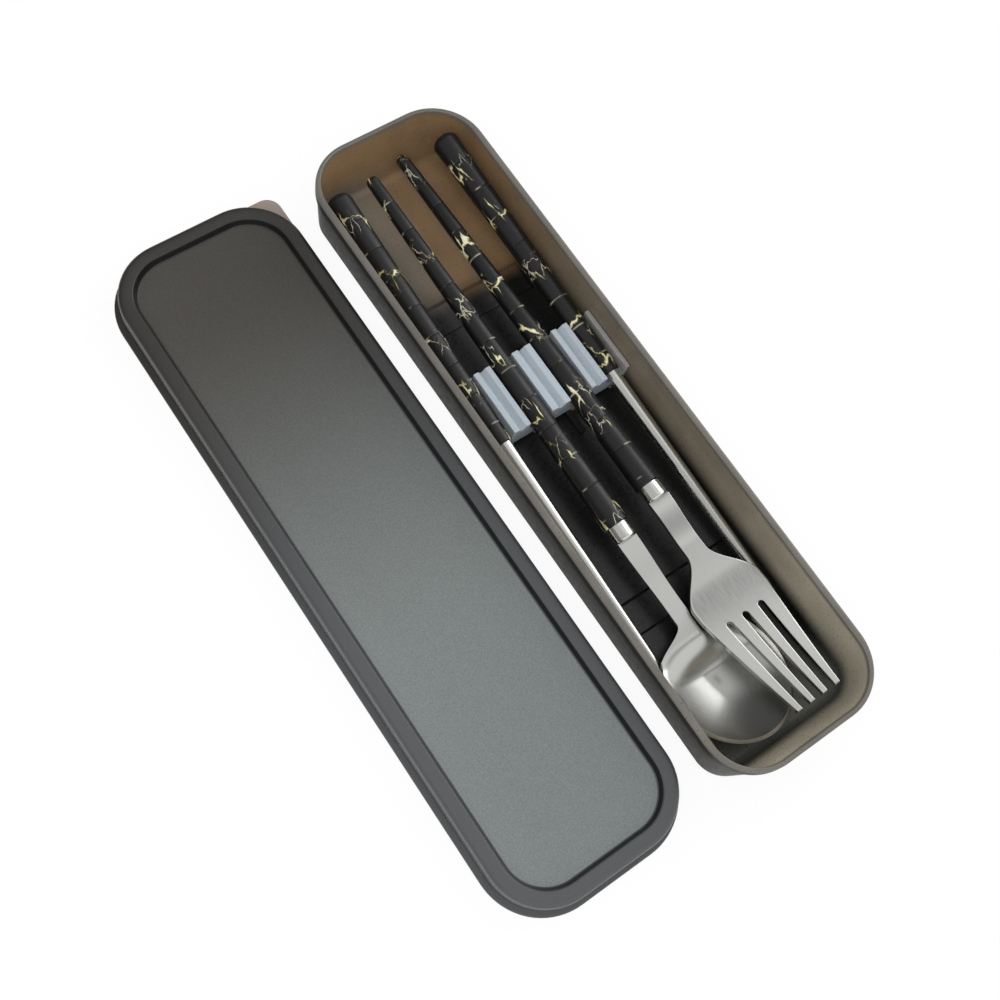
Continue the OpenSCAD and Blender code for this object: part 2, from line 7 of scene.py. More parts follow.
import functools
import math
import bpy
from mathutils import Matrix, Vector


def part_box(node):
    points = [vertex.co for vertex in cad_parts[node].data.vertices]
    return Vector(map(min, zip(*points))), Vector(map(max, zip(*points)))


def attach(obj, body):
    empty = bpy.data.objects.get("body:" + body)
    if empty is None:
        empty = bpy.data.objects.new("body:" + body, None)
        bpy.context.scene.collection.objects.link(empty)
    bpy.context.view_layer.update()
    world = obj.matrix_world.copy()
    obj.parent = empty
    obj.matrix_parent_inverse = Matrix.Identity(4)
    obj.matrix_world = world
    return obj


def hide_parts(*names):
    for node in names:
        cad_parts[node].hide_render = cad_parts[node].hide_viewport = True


bl_info = {
    "name": "Portable Chopstick Case",
    "version": (1, 0, 0),
    "blender": (4, 5, 0),
    "location": "View3D > Sidebar > Chopstick Case",
    "description": "Builds a travel case with chopsticks, a spoon and a fork over its CAD frame",
    "category": "Object",
}

import bmesh
import bpy
import numpy as np
from bpy.props import FloatProperty, FloatVectorProperty, PointerProperty
from mathutils import Matrix, Vector

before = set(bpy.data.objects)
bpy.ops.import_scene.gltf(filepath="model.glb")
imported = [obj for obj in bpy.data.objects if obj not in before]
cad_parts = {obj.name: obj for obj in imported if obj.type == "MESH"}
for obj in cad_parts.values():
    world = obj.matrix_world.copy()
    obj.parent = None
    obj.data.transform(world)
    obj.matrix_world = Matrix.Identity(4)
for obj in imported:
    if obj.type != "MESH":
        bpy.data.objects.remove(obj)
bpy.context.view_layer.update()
MM = 0.001
# Facets of a corner in plan, crease of turned pieces in degrees, and steel inside a collar in millimetres
CORNER_STEPS = 18
TURNED_CREASE = 40
COLLAR_OVERLAP = 0.5
# Section of a ring line: place along the handle in millimetres, and share of its full depth
RING_LINE = ((-0.45, 0.0), (-0.3, 0.15), (0.0, 1.0), (0.3, 0.15), (0.45, 0.0))


def srgb(code):
    """Linear colour of an sRGB hex code such as "#4a4640"."""
    parts = [int(code[i:i + 2], 16) / 255 for i in (1, 3, 5)]
    return tuple(c / 12.92 if c <= 0.04045 else ((c + 0.055) / 1.055) ** 2.4 for c in parts)


def number(name, default, description, **more):
    """A plain number as a property of a group."""
    return FloatProperty(name=name, description=description, default=default, **more)


def length(name, default, description):
    """A size in millimetres as a property of a group."""
    return number(name, default, description, min=0.0, precision=3)


def colour(name, code, description):
    """A colour property with an sRGB hex default."""
    return FloatVectorProperty(
        name=name, description=description, default=srgb(code), size=3, min=0.0, max=1.0, subtype="COLOR"
    )


def half_size(node):
    """Half width and half length of a CAD node's box, in millimetres."""
    low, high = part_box(node)
    return (high.x - low.x) / 2 / MM, (high.y - low.y) / 2 / MM


def middle(node):
    """Middle of a CAD node's box on the table, in metres."""
    low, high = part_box(node)
    return Vector(((low.x + high.x) / 2, (low.y + high.y) / 2, 0.0))


TRAY_HALF = half_size("tray")
LID_HALF = half_size("lid")
CLIP_LOW, CLIP_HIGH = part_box("clip_insert")


# Sizes, colours and stage settings that a user would change

class TraySizes(bpy.types.PropertyGroup):
    """Sizes of the tray in millimetres"""

    half_w: length("Half width", TRAY_HALF[0], "Half of the rim's width")
    half_l: length("Half length", TRAY_HALF[1], "Half of the rim's length")
    height: length("Height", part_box("tray")[1].z / MM, "From the table to the top of the rim")
    wall: length("Wall", 1.5, "Thickness of the walls and the floor")
    rim_r: length("Rim corner", 17.2, "Corner radius of the rim")
    rim_h: length("Rim height", 3.9, "Height of the rim")
    rim_out: length("Rim overhang", 0.9, "How far the rim stands out from the wall")
    side_slope: number("Side slope", 0.055, "Sideways run of a long wall per height", min=0.0)
    end_slope: number("End slope", 0.24, "Sideways run of an end wall per height", min=0.0)
    floor_corner: length("Floor corner", 8.0, "Corner radius of the floor")
    floor_r: length("Floor fillet", 2.0, "Radius where the floor meets the walls")
    foot_h: length("Foot height", 1.2, "Height of the cross feet")
    foot_w: length("Foot width", 12.5, "Width of a cross foot along the case")
    foot_y: length("Foot place", 56.0, "From the middle of the tray to each foot")
    rail_h: length("Rail height", 2.3, "Height of the rails under the clip")
    rail_t: length("Rail thickness", 2.0, "Thickness of a rail")
    rail_over: length("Rail run", 8.0, "How far the rails run past the clip")


class LidSizes(bpy.types.PropertyGroup):
    """Sizes of the lid in millimetres"""

    half_w: length("Half width", LID_HALF[0], "Half of the flange's width")
    half_l: length("Half length", LID_HALF[1], "Half of the flange's length")
    height: length("Height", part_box("lid")[1].z / MM, "From the table to the top of the rim")
    thick: length("Thickness", 1.5, "Thickness of the lid")
    corner: length("Corner", 20.45, "Corner radius of the flange")
    skirt_t: length("Skirt", 1.2, "Thickness of the skirt")
    flange_out: length("Flange", 1.8, "How far the flange stands out from the skirt")
    flange_t: length("Flange thickness", 1.4, "Thickness of the flange and the tab")
    bead_w: length("Bead", 4.6, "Width of the raised rim")
    panel_depth: length("Panel depth", 2.5, "Depth of the sunk panel")
    panel_slope: length("Panel slope", 1.4, "Run of the slope between the rim and the panel")
    tab_r: length("Tab corner", 5.0, "Corner radius of the pull tab")
    rim_h: length("Catch height", 3.9, "Height of the tray's rim that the snap bead catches under")
    snap_in: length("Snap bead", 0.45, "How far the snap bead stands in from the skirt")


class ClipSizes(bpy.types.PropertyGroup):
    """Sizes of the clip insert in millimetres"""

    mid_block: length("Middle block", 7.0, "Width of the middle block")
    side_block: length("Side block", 6.1, "Width of a side block")
    cutlery_r: length("Cutlery slot", 4.025, "Half width of a spoon or fork slot")
    stick_r: length("Chopstick slot", 3.595, "Half width of a chopstick slot")
    cutlery_seat: length("Cutlery seat", 5.6, "Height of the cutlery seats above the floor")
    stick_seat: length("Chopstick seat", 4.8, "Height of the chopstick seats above the floor")
    notch_w: length("Notch width", 2.6, "Width of the notch along a block")
    notch_depth: length("Notch depth", 1.8, "Depth of the notch along a block")
    arch_h: length("Arch", 2.7, "Height of the arches under the clip")


class StickSizes(bpy.types.PropertyGroup):
    """Sizes of a chopstick in millimetres"""

    total: length("Length", 208.0, "Length of a chopstick")
    handle: length("Handle", 94.6, "Length of the handle")
    end_d: length("Thick end", 8.6, "Diameter at the thick end")
    joint_d: length("Joint", 5.8, "Diameter of the handle where the steel starts")
    shaft_d: length("Shaft", 4.9, "Diameter of the steel at the handle")
    tip_d: length("Tip", 2.4, "Diameter of the steel at its tip")
    ring_pitch: length("Ring pitch", 11.0, "Distance between the ring lines of every handle")
    ring_depth: length("Ring depth", 0.14, "Depth of a ring line")


class CutlerySizes(bpy.types.PropertyGroup):
    """Sizes of the spoon and the fork in millimetres"""

    handle: length("Handle", 134.6, "Length of a handle")
    end_d: length("Free end", 4.2, "Diameter of a handle at its free end")
    mouth_d: length("Mouth", 8.4, "Diameter of a handle at its collar")
    collar: length("Collar", 5.6, "Length of a collar")
    collar_d: length("Collar diameter", 7.2, "Diameter of a collar")
    neck_t: length("Neck thickness", 2.2, "Thickness of both necks")
    spoon_l: length("Spoon head", 69.0, "From the collar to the tip of the bowl")
    bowl_l: length("Bowl length", 40.5, "Length of the bowl")
    bowl_w: length("Bowl width", 36.2, "Width of the bowl")
    bowl_depth: length("Bowl depth", 6.4, "Depth of the bowl")
    bowl_t: length("Bowl thickness", 1.2, "Thickness of the bowl")
    bowl_rise: length("Bowl rise", 5.6, "Rise of the bowl's tip above the line of the handle")
    spoon_neck: length("Spoon neck", 6.8, "Width of the neck at the collar")
    spoon_waist: length("Spoon waist", 5.5, "Width of the neck at its narrowest")
    fork_l: length("Fork head", 73.6, "From the collar to the tips of the tines")
    fork_w: length("Fork width", 25.2, "Width across the shoulders")
    fork_tip_w: length("Tip width", 16.0, "Width across the tips of the tines")
    fork_neck: length("Fork neck", 7.4, "Width of the neck at the collar")
    fork_waist: length("Fork waist", 6.9, "Width of the neck at its narrowest")
    fork_t: length("Fork thickness", 1.8, "Thickness of the head")
    slot_l: length("Slot length", 32.0, "Length of the slots between the tines")
    slot_w: length("Slot width", 2.2, "Width of a slot at its round end")
    tine_w: length("Tine width", 1.7, "Width of a tine at its tip")
    fork_dip: length("Fork dip", 1.6, "Dip of the neck below the line of the handle")
    fork_rise: length("Fork rise", 7.5, "Rise of the tines from the dip")


class Finishes(bpy.types.PropertyGroup):
    """Colours of the pieces, some with painted light and shade"""

    # Painted light: the near walls are pale, as lit and with light coming through them
    wall: colour("Wall plastic", "#c2baa5", "Smoke polypropylene of the tray's near walls")
    # Painted shade: the middle of the long walls is darker, in less light
    middle: colour("Middle plastic", "#837969", "Smoke polypropylene of the middle of the long walls")
    # Painted shade: the outside is dark, as the shade between the lid and the tray
    outside: colour("Outside plastic", "#302e2b", "Polished outside of the tray")
    # Painted shadow: the floor is near black, as the shade under the clip and the cutlery
    floor: colour("Floor plastic", "#151615", "Smoke polypropylene of the tray's floor")
    # Painted light: the floor's near end is lighter, as lit
    lit_near_floor: colour("Near floor plastic", "#4c4c48", "Smoke polypropylene of the floor's near end")
    # Painted glow: the far floor and the far walls are warm, as lit from behind
    far_glow: colour("Warm plastic", "#8f7354", "Smoke polypropylene with light behind it")
    # Part of the far floor's painted glow, greyer at its left
    grey: colour("Grey plastic", "#6e665a", "Smoke polypropylene of the floor's far left corner")
    # Painted light: the rim's pale band stands in for the light its rolled top catches
    rim: colour("Rim plastic", "#736f68", "Smoke polypropylene of the rolled rim, scuffed pale")
    lid: colour("Lid plastic", "#484a4c", "Smooth polypropylene of the lid's raised rim")
    # Painted shade: the raised rim is darker at the lid's far end
    lid_far_shade: colour("Far lid plastic", "#2b2926", "The raised rim's plastic at the far end, deeper dyed")
    # Painted shade: the slope around the panel is near black, as the shade in the groove
    groove_shade: colour("Groove plastic", "#101111", "Polished slope around the lid's panel")
    panel: colour("Panel plastic", "#6e7473", "Frosted polypropylene of the lid's panel")
    # Painted shade: the panel is darker and warmer at the lid's far end
    panel_far_shade: colour("Far panel plastic", "#3b3834", "The panel's plastic at the lid's far end, deeper dyed")
    tab: colour("Tab plastic", "#b8a99d", "The lid's plastic where it is thin")
    clip: colour("Clip plastic", "#b0bac2", "Natural polypropylene of the clip")
    black: colour("Handle black", "#0d0d0e", "Moulded black plastic of the handles")
    gold: colour("Gold print", "#cabf7e", "Broad veins of the print")
    # Also the colour of the painted glints on the ring lines
    cream_print_and_glint: colour("Cream print", "#dcd8bd", "Fine veins of the print")
    steel: colour("Satin steel", "#c4c4c1", "Brushed steel of the spoon and the fork")
    bright: colour("Bright steel", "#dcdcd8", "Polished steel of the shafts and collars")


class StageSettings(bpy.types.PropertyGroup):
    """Camera and light of the studio"""

    azimuth: number("Azimuth", math.radians(-55.194), "Camera turn about the case", subtype="ANGLE")
    elevation: number("Elevation", math.radians(68.098), "Camera height above the table", subtype="ANGLE")
    roll: number("Roll", math.radians(21.991), "Camera turn about its own line of sight", subtype="ANGLE")
    distance: length("Distance", 419.216, "From the camera to the plane through the tray's middle")
    across: number("Across", 21.698, "Tray's middle off the line of sight, sideways, in mm")
    along: number("Along", 16.971, "Tray's middle off the line of sight, upwards, in mm")
    lens: number("Lens", 48.373, "Focal length for a sensor 36 mm wide", min=10.0, unit="CAMERA")
    key: number("Key light", 1.6, "Power of the lamp above the case", min=0.0, unit="POWER")
    side: number("Side light", 1.6, "Power of the lamp on the right", min=0.0, unit="POWER")
    sky: number("Sky", 0.95, "Strength of the studio's bright bands", min=0.0)
    even: number("Even light", 0.72, "Strength of the studio's soft light", min=0.0)


def values(context):
    """All property groups of the case."""
    return context.scene.chopstick_case


# Shapes

def smooth_step(t):
    """A smooth step from 0 to 1."""
    c = np.clip(t, 0.0, 1.0)
    return c * c * (3 - 2 * c)


def mix(a, b, t):
    """A straight run from a to b."""
    return a + (b - a) * t


def arc(cx, cz, r, start, end, steps=8):
    """Points of a round about (cx, cz), from angle start to angle end in degrees."""
    angles = [math.radians(mix(start, end, k / steps)) for k in range(steps + 1)]
    return [(cx + r * math.cos(a), cz + r * math.sin(a)) for a in angles]


def rounded_ring(half_w, half_l, r, z):
    """Points of a rounded rectangle at height z, anticlockwise."""
    points = []
    for sx, sy, turn in ((1, 1, 0), (-1, 1, 90), (-1, -1, 180), (1, -1, 270)):
        corner = arc(sx * (half_w - r), sy * (half_l - r), r, turn, turn + 90, CORNER_STEPS)
        points += [(x, y, z) for x, y in corner]
    return points


def ring_mesh(rings):
    """Vertices and faces of a loft through rings of equal length, capped at both ends."""
    n = len(rings[0])
    verts = [p for ring in rings for p in ring]
    faces = []
    for i in range(len(rings) - 1):
        for j in range(n):
            a, b = i * n + j, i * n + (j + 1) % n
            faces.append((a, b, b + n, a + n))
    faces.append(tuple(reversed(range(n))))
    faces.append(tuple(len(verts) - n + j for j in range(n)))
    return verts, faces


def bar_mesh(half_l, top_w, bottom_w, low, high, y):
    """A bar across the case with sloping sides, from height low to high."""
    section = ((-top_w / 2, high), (-bottom_w / 2, low), (bottom_w / 2, low), (top_w / 2, high))
    rings = [[(x, y + v, z) for v, z in section] for x in (-half_l, half_l)]
    return ring_mesh(rings)


def box_mesh(low, high):
    """A block between two corners."""
    rings = [
        [(low[0], low[1], z), (high[0], low[1], z), (high[0], high[1], z), (low[0], high[1], z)]
        for z in (low[2], high[2])
    ]
    return ring_mesh(rings)


def turned_mesh(outline, segments=72):
    """A turned piece along -Y from its outline as (radius, distance), with poles where the radius is 0."""
    verts, rows = [], []
    for r, s in outline:
        if r < 1e-6:
            rows.append([len(verts)] * segments)
            verts.append((0.0, -s, 0.0))
            continue
        rows.append(list(range(len(verts), len(verts) + segments)))
        for k in range(segments):
            a = 2 * math.pi * k / segments
            verts.append((r * math.cos(a), -s, r * math.sin(a)))
    faces = []
    for lower, upper in zip(rows, rows[1:]):
        for k in range(segments):
            m = (k + 1) % segments
            corners = []
            for v in (lower[k], lower[m], upper[m], upper[k]):
                if v not in corners:
                    corners.append(v)
            faces.append(tuple(corners))
    return verts, faces


def mesh_object(name, verts, faces):
    """A mesh object from points in millimetres, with its faces turned outwards."""
    mesh = bpy.data.meshes.new(name)
    mesh.from_pydata([tuple(c * MM for c in v) for v in verts], [], faces)
    bm = bmesh.new()
    bm.from_mesh(mesh)
    bmesh.ops.remove_doubles(bm, verts=bm.verts, dist=1e-7)
    bmesh.ops.recalc_face_normals(bm, faces=bm.faces)
    bm.to_mesh(mesh)
    bm.free()
    obj = bpy.data.objects.new(name, mesh)
    bpy.context.scene.collection.objects.link(obj)
    return obj


def carve(obj, verts, faces, operation):
    """Adds a second solid to obj or cuts it away, and keeps the result as obj's own mesh."""
    tool = mesh_object("tool", verts, faces)
    cut = obj.modifiers.new("cut", "BOOLEAN")
    cut.operation, cut.solver, cut.object = operation, "EXACT", tool
    graph = bpy.context.evaluated_depsgraph_get()
    result = bpy.data.meshes.new_from_object(obj.evaluated_get(graph))
    obj.modifiers.clear()
    old, obj.data = obj.data, result
    bpy.data.meshes.remove(old)
    bpy.data.objects.remove(tool)


def soften(obj, width, segments, angle):
    """Rounds edges where faces meet at more than angle degrees, by width in millimetres."""
    bevel = obj.modifiers.new("soft_edges", "BEVEL")
    bevel.width, bevel.segments = width * MM, segments
    bevel.limit_method, bevel.angle_limit = "ANGLE", math.radians(angle)


def shade(obj, angle):
    """Smooth faces with creases where faces meet at more than angle degrees."""
    for face in obj.data.polygons:
        face.use_smooth = True
    obj.data.set_sharp_from_angle(angle=math.radians(angle))


def settle(obj, place, body, nodes, material):
    """Puts a finished piece where its CAD nodes are and lets it ride on their body."""
    obj.data.materials.clear()
    obj.data.materials.append(material)
    obj.matrix_world = place
    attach(obj, body)
    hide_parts(*nodes)


def line_of(node):
    """Frame of a turned CAD node: origin at its end towards +Y, -Y along its axis, X level."""
    points = np.unique(np.round([v.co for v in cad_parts[node].data.vertices], 7), axis=0)
    centre = points.mean(axis=0)
    axis = np.linalg.svd(points - centre, full_matrices=False)[2][0]
    if axis[1] > 0:
        axis = -axis
    start = Vector(centre + axis * ((points - centre) @ axis).min())
    y = -Vector(axis)
    x = y.cross(Vector((0, 0, 1))).normalized()
    z = x.cross(y)
    return Matrix.Translation(start) @ Matrix((x, y, z)).transposed().to_4x4()


# Finishes

SMOOTH = {"interpolation_type": "SMOOTHSTEP"}
# A mix of two colours, whose result is the node's third output
COLOURS = {"data_type": "RGBA", "out": 2}
# Nearly all values of a noise lie between these
NOISE = (0.3, 0.7)
POLYPROPYLENE_IOR = 1.49
ABS_IOR = 1.53


def add_node(tree, kind, feeds=None, out=0, **settings):
    """Adds one node with its settings, and feeds its inputs with values or with outputs of other nodes.

    Gives the output that out names, or the node itself if out is None.
    """
    made = tree.nodes.new("ShaderNode" + kind)
    for key, value in settings.items():
        setattr(made, key, value)
    for key, value in (feeds or {}).items():
        socket = made.inputs[key]
        if isinstance(value, bpy.types.NodeSocket):
            tree.links.new(value, socket)
        elif socket.type == "RGBA":
            socket.default_value = (*value[:3], 1.0)
        else:
            socket.default_value = value
    return made if out is None else made.outputs[out]


def empty_tree(owner):
    """Empties the node tree of a material or a world, and gives the function that adds a node to it."""
    owner.use_nodes = True
    owner.node_tree.nodes.clear()
    return functools.partial(add_node, owner.node_tree)


def link(output, shader, name):
    """Lets a node's output drive an input of a shader."""
    shader.id_data.links.new(output, shader.inputs[name])


def between(first, full, low=0.0, high=1.0):
    """Inputs of a range that is low at first and high at full."""
    return {"From Min": first, "From Max": full, "To Min": low, "To Max": high}


def new_material(name, base, **inputs):
    """A material with one Principled shader, the function that adds its nodes, and the shader."""
    made = bpy.data.materials.new(name)
    node = empty_tree(made)
    shader = node("BsdfPrincipled", {"Base Color": base}, None)
    for key, value in inputs.items():
        shader.inputs[key.replace("_", " ").title().replace("Ior", "IOR")].default_value = value
    node("OutputMaterial", {"Surface": shader.outputs["BSDF"]}, None)
    return made, node, shader


def grain(node, size_mm, stretch=(1.0, 1.0, 1.0), detail=2.0):
    """A noise whose blotches are size_mm across, in the piece's own coordinates."""
    place = node("TexCoord", out="Object")
    scaled = node("Mapping", {"Vector": place, "Scale": stretch})
    return node("TexNoise", {"Vector": scaled, "Scale": 1 / (size_mm * MM), "Detail": detail}, "Fac")


def roughen(node, shader, noise, low, high):
    """Lets a noise vary a shader's roughness between low and high."""
    spread = node("MapRange", {"Value": noise, **between(*NOISE, low, high)})
    link(spread, shader, "Roughness")


def emboss(node, shader, height, depth_mm):
    """Lets a pattern raise a shader's surface by depth_mm."""
    bump = node("Bump", {"Height": height, "Strength": 1.0, "Distance": depth_mm * MM})
    link(bump, shader, "Normal")


def moulded_smoke_polypropylene(finishes):
    # Polypropylene moulded in a satin steel tool. Light and shade are painted into its smoke colour: painted
    # shadow darkens the floor, painted light lightens the floor's near end and the near walls, and a painted
    # glow of light through it warms the far end
    made, node, shader = new_material("moulded_smoke_polypropylene", finishes.wall, ior=POLYPROPYLENE_IOR)
    place = node("TexCoord", out="Object")
    axes = node("SeparateXYZ", {0: place}, None).outputs
    shares = {}
    # Where each tone starts and where it is full, in millimetres from the tray's middle and the table
    for zone, axis, first, full in (
        ("lit_far_floor", "Y", 56.0, 66.0),
        ("lit_near_floor", "Y", -84.0, -104.0),
        ("lit_near_wall", "Y", -10.0, -110.0),
        ("lit_far_wall", "Y", 20.0, 95.0),
        ("left", "X", 6.0, -14.0),
        ("wall", "Z", 4.0, 13.0),
        ("rim", "Z", 21.6, 23.4),
    ):
        shares[zone] = node("MapRange", {"Value": axes[axis], **between(first * MM, full * MM)}, **SMOOTH)
    # Painted shadow darkens the floor, and painted light lightens its near end
    floor_shade = node("Mix", {0: shares["lit_near_floor"], 6: finishes.floor, 7: finishes.lit_near_floor}, **COLOURS)
    # Painted glow on the far floor, greyer on the left
    far = node("Mix", {0: shares["left"], 6: finishes.far_glow, 7: finishes.grey}, **COLOURS)
    floor = node("Mix", {0: shares["lit_far_floor"], 6: floor_shade, 7: far}, **COLOURS)
    # Painted light: the near walls are pale and the middle of the long walls darker
    near = node("Mix", {0: shares["lit_near_wall"], 6: finishes.middle, 7: finishes.wall}, **COLOURS)
    # A painted glow warms the far walls
    wall = node("Mix", {0: shares["lit_far_wall"], 6: near, 7: finishes.far_glow}, **COLOURS)
    body = node("Mix", {0: shares["wall"], 6: floor, 7: wall}, **COLOURS)
    # Painted light on the rim's rolled top, paler than the walls
    edge = node("Mix", {0: shares["rim"], 6: body, 7: finishes.rim}, **COLOURS)
    through = node("MapRange", {"Value": shares["wall"], "To Min": 0.1, "To Max": 0.3})
    link(through, shader, "Transmission Weight")
    # Flow clouds of the dye, about 14 mm across
    clouds = node("MapRange", {"Value": grain(node, 14.0), **between(*NOISE, 0.86, 1.1)})
    tint = node("VectorMath", {0: edge, "Scale": clouds}, operation="SCALE")
    link(tint, shader, "Base Color")
    roughen(node, shader, grain(node, 1.2), 0.26, 0.38)
    # The tool's satin grit is near 0.1 mm and is drawn at 0.4 mm so that it shows
    emboss(node, shader, grain(node, 0.4), 0.012)
    return made


def shaded_outside_polypropylene(finishes):
    # The outside of the tray: deep smoke with a soft gloss; its dark tone is painted shade, as in the gap
    # between the lid and the tray
    made, node, shader = new_material(
        "shaded_outside_polypropylene", finishes.outside, ior=POLYPROPYLENE_IOR, transmission_weight=0.3,
        specular_ior_level=0.15,
    )
    roughen(node, shader, grain(node, 2.0), 0.38, 0.48)
    return made


def frosted_polypropylene(name, base, through, pits_mm, low, high, far=None):
    # Polypropylene moulded in a spark-eroded tool: an even frost of fine pits that spreads every highlight
    made, node, shader = new_material(name, base, ior=POLYPROPYLENE_IOR, transmission_weight=through)
    # Painted shade: the colour darkens towards the lid's far end, where its light and sheen fall off
    place = node("TexCoord", out="Object")
    along = node("SeparateXYZ", {0: place}, "Y")
    far_shade_share = node("MapRange", {"Value": along, **between(-40 * MM, 95 * MM)}, **SMOOTH)
    shaded_tone = node("Mix", {0: far_shade_share, 6: base, 7: far or base}, **COLOURS)
    speckle = grain(node, 0.45, detail=3.0)
    spread = 6 * pits_mm
    frost = node("MapRange", {"Value": speckle, **between(*NOISE, 1 - spread, 1 + spread)})
    tint = node("VectorMath", {0: shaded_tone, "Scale": frost}, operation="SCALE")
    link(tint, shader, "Base Color")
    roughen(node, shader, grain(node, 3.0), low, high)
    # Real pits are near 0.1 mm and are drawn at 0.45 mm so that the frost shows
    emboss(node, shader, speckle, pits_mm)
    return made


def natural_polypropylene(finishes, fin_x):
    # Undyed polypropylene: a milky blue grey that light sinks into, with a soft moulded skin
    made, node, shader = new_material(
        "natural_polypropylene", finishes.clip, ior=POLYPROPYLENE_IOR, subsurface_weight=0.3,
        subsurface_scale=2.0 * MM,
    )
    # The thin fins at both sides let more light through than the thick blocks, which let through only a little,
    # and are painted with the walls' colour seen through them
    place = node("TexCoord", out="Object")
    across = node("SeparateXYZ", {0: place}, "X")
    outwards = node("Math", {0: across}, operation="ABSOLUTE")
    ends = between((fin_x - 0.2) * MM, fin_x * MM, 0.0, 0.5)
    thin = node("MapRange", {"Value": outwards, **ends}, **SMOOTH)
    tint = node("Mix", {0: thin, 6: finishes.clip, 7: finishes.tab}, **COLOURS)
    link(tint, shader, "Base Color")
    through = node("Math", {0: thin, 1: 0.6, 2: 0.15}, operation="MULTIPLY_ADD")
    link(through, shader, "Transmission Weight")
    roughen(node, shader, grain(node, 1.0), 0.34, 0.46)
    emboss(node, shader, grain(node, 0.5), 0.01)
    return made


def printed_black_abs(name, finishes, shift, pitch):
    # Moulded black ABS with a heat-transferred print of gold and cream cracks under a satin lacquer, and
    # painted glints on its ring lines
    patch_mm, spot_mm, bend_mm, crack_mm, hair_mm, speckle_mm = 20, 5, 3, 6.5, 3.2, 1.2
    made, node, shader = new_material(name, finishes.black, ior=ABS_IOR)
    place = node("TexCoord", out="Object")
    moved = node("Mapping", {"Vector": place, "Location": shift, "Scale": (1.0, 0.48, 1.0)})
    # The print comes in patches about 12 mm long, one to every patch_mm or so of the handle
    along = node("SeparateXYZ", {0: place}, "Y")
    row = node("Math", {0: along, 1: 1 / (patch_mm * MM), 2: shift[0] / MM}, operation="MULTIPLY_ADD")
    cells = {"W": row, "Scale": 1.0, "Randomness": 0.7}
    patch = node("TexVoronoi", cells, "Distance", voronoi_dimensions="1D")
    in_patch = node("MapRange", {"Value": patch, **between(0.33, 0.07)}, **SMOOTH)
    spots = node("TexNoise", {"Vector": moved, "Scale": 1 / (spot_mm * MM), "Detail": 1.0}, "Fac")
    in_spot = node("MapRange", {"Value": spots, **between(0.44, 0.6)})
    gate = node("Math", {0: in_patch, 1: in_spot}, operation="MULTIPLY")
    # Jagged edges of large cells are the cracks, and those of small cells the hair lines beside them
    bend = node("TexNoise", {"Vector": moved, "Scale": 1 / (bend_mm * MM), "Detail": 4.0}, "Color")
    offset = node("VectorMath", {0: bend, 1: (4 * MM,) * 3, 2: moved}, operation="MULTIPLY_ADD")
    edges = []
    for cell_mm in (crack_mm, hair_mm):
        cells = {"Vector": offset, "Scale": 1 / (cell_mm * MM)}
        edges.append(node("TexVoronoi", cells, "Distance", feature="DISTANCE_TO_EDGE"))
    wide = node("Math", {0: gate, 1: 0.066}, operation="MULTIPLY")
    band = node("Math", {0: wide, 1: edges[0]}, operation="SUBTRACT")
    gold_mask = node("MapRange", {"Value": band, **between(0.0, 0.03)})
    cream_mask = node("MapRange", {"Value": band, **between(0.022, 0.048)})
    beside = node("MapRange", {"Value": spots, **between(0.52, 0.4)})
    hair_gate = node("Math", {0: in_patch, 1: beside}, operation="MULTIPLY")
    hair_wide = node("Math", {0: hair_gate, 1: 0.055, 2: -0.005}, operation="MULTIPLY_ADD")
    hair_band = node("Math", {0: hair_wide, 1: edges[1]}, operation="SUBTRACT")
    hair_mask = node("MapRange", {"Value": hair_band, **between(0.0, 0.02, 0.0, 0.55)})
    speckle = node("TexNoise", {"Vector": moved, "Scale": 1 / (speckle_mm * MM), "Detail": 2.0}, "Fac")
    dim_gold = [c * 0.5 for c in finishes.gold]
    gold_tone = node("Mix", {0: speckle, 6: dim_gold, 7: finishes.gold}, **COLOURS)
    print_tone = node("Mix", {0: gold_mask, 6: finishes.black, 7: gold_tone}, **COLOURS)
    # Painted glints: the ring lines carry short pale dashes where they catch the light
    near_ring = node("Math", {0: along, 1: pitch / 2 * MM}, operation="PINGPONG")
    on_ring = node("MapRange", {"Value": near_ring, **between(0.36 * MM, 0.16 * MM)}, **SMOOTH)
    glint_patches = node("MapRange", {"Value": spots, **between(0.52, 0.64, 0.0, 0.4)})
    ring_glint = node("Math", {0: on_ring, 1: glint_patches}, operation="MULTIPLY")
    for mask in (cream_mask, hair_mask, ring_glint):
        print_tone = node("Mix", {0: mask, 6: print_tone, 7: finishes.cream_print_and_glint}, **COLOURS)
    link(print_tone, shader, "Base Color")
    roughen(node, shader, grain(node, 0.8), 0.38, 0.48)
    emboss(node, shader, speckle, 0.008)
    return made


def brushed_stainless_steel(name, finishes, low, high):
    # Stamped stainless steel, brushed along its length: fine streaks that stretch the highlights
    made, node, shader = new_material(name, finishes.steel, metallic=1.0)
    # Brush lines are near 0.05 mm and are drawn at 0.3 mm so that they show
    streaks = grain(node, 0.3, stretch=(1.0, 0.02, 1.0), detail=3.0)
    roughen(node, shader, streaks, low, high)
    return made


def polished_stainless_steel(finishes):
    # Drawn tube, ground and buffed: bright, with faint turning marks around it
    name = "polished_stainless_steel"
    if name in bpy.data.materials:
        return bpy.data.materials[name]
    made, node, shader = new_material(name, finishes.bright, metallic=1.0)
    marks = grain(node, 0.5, stretch=(0.1, 1.0, 0.1))
    roughen(node, shader, marks, 0.16, 0.26)
    return made


# Pieces

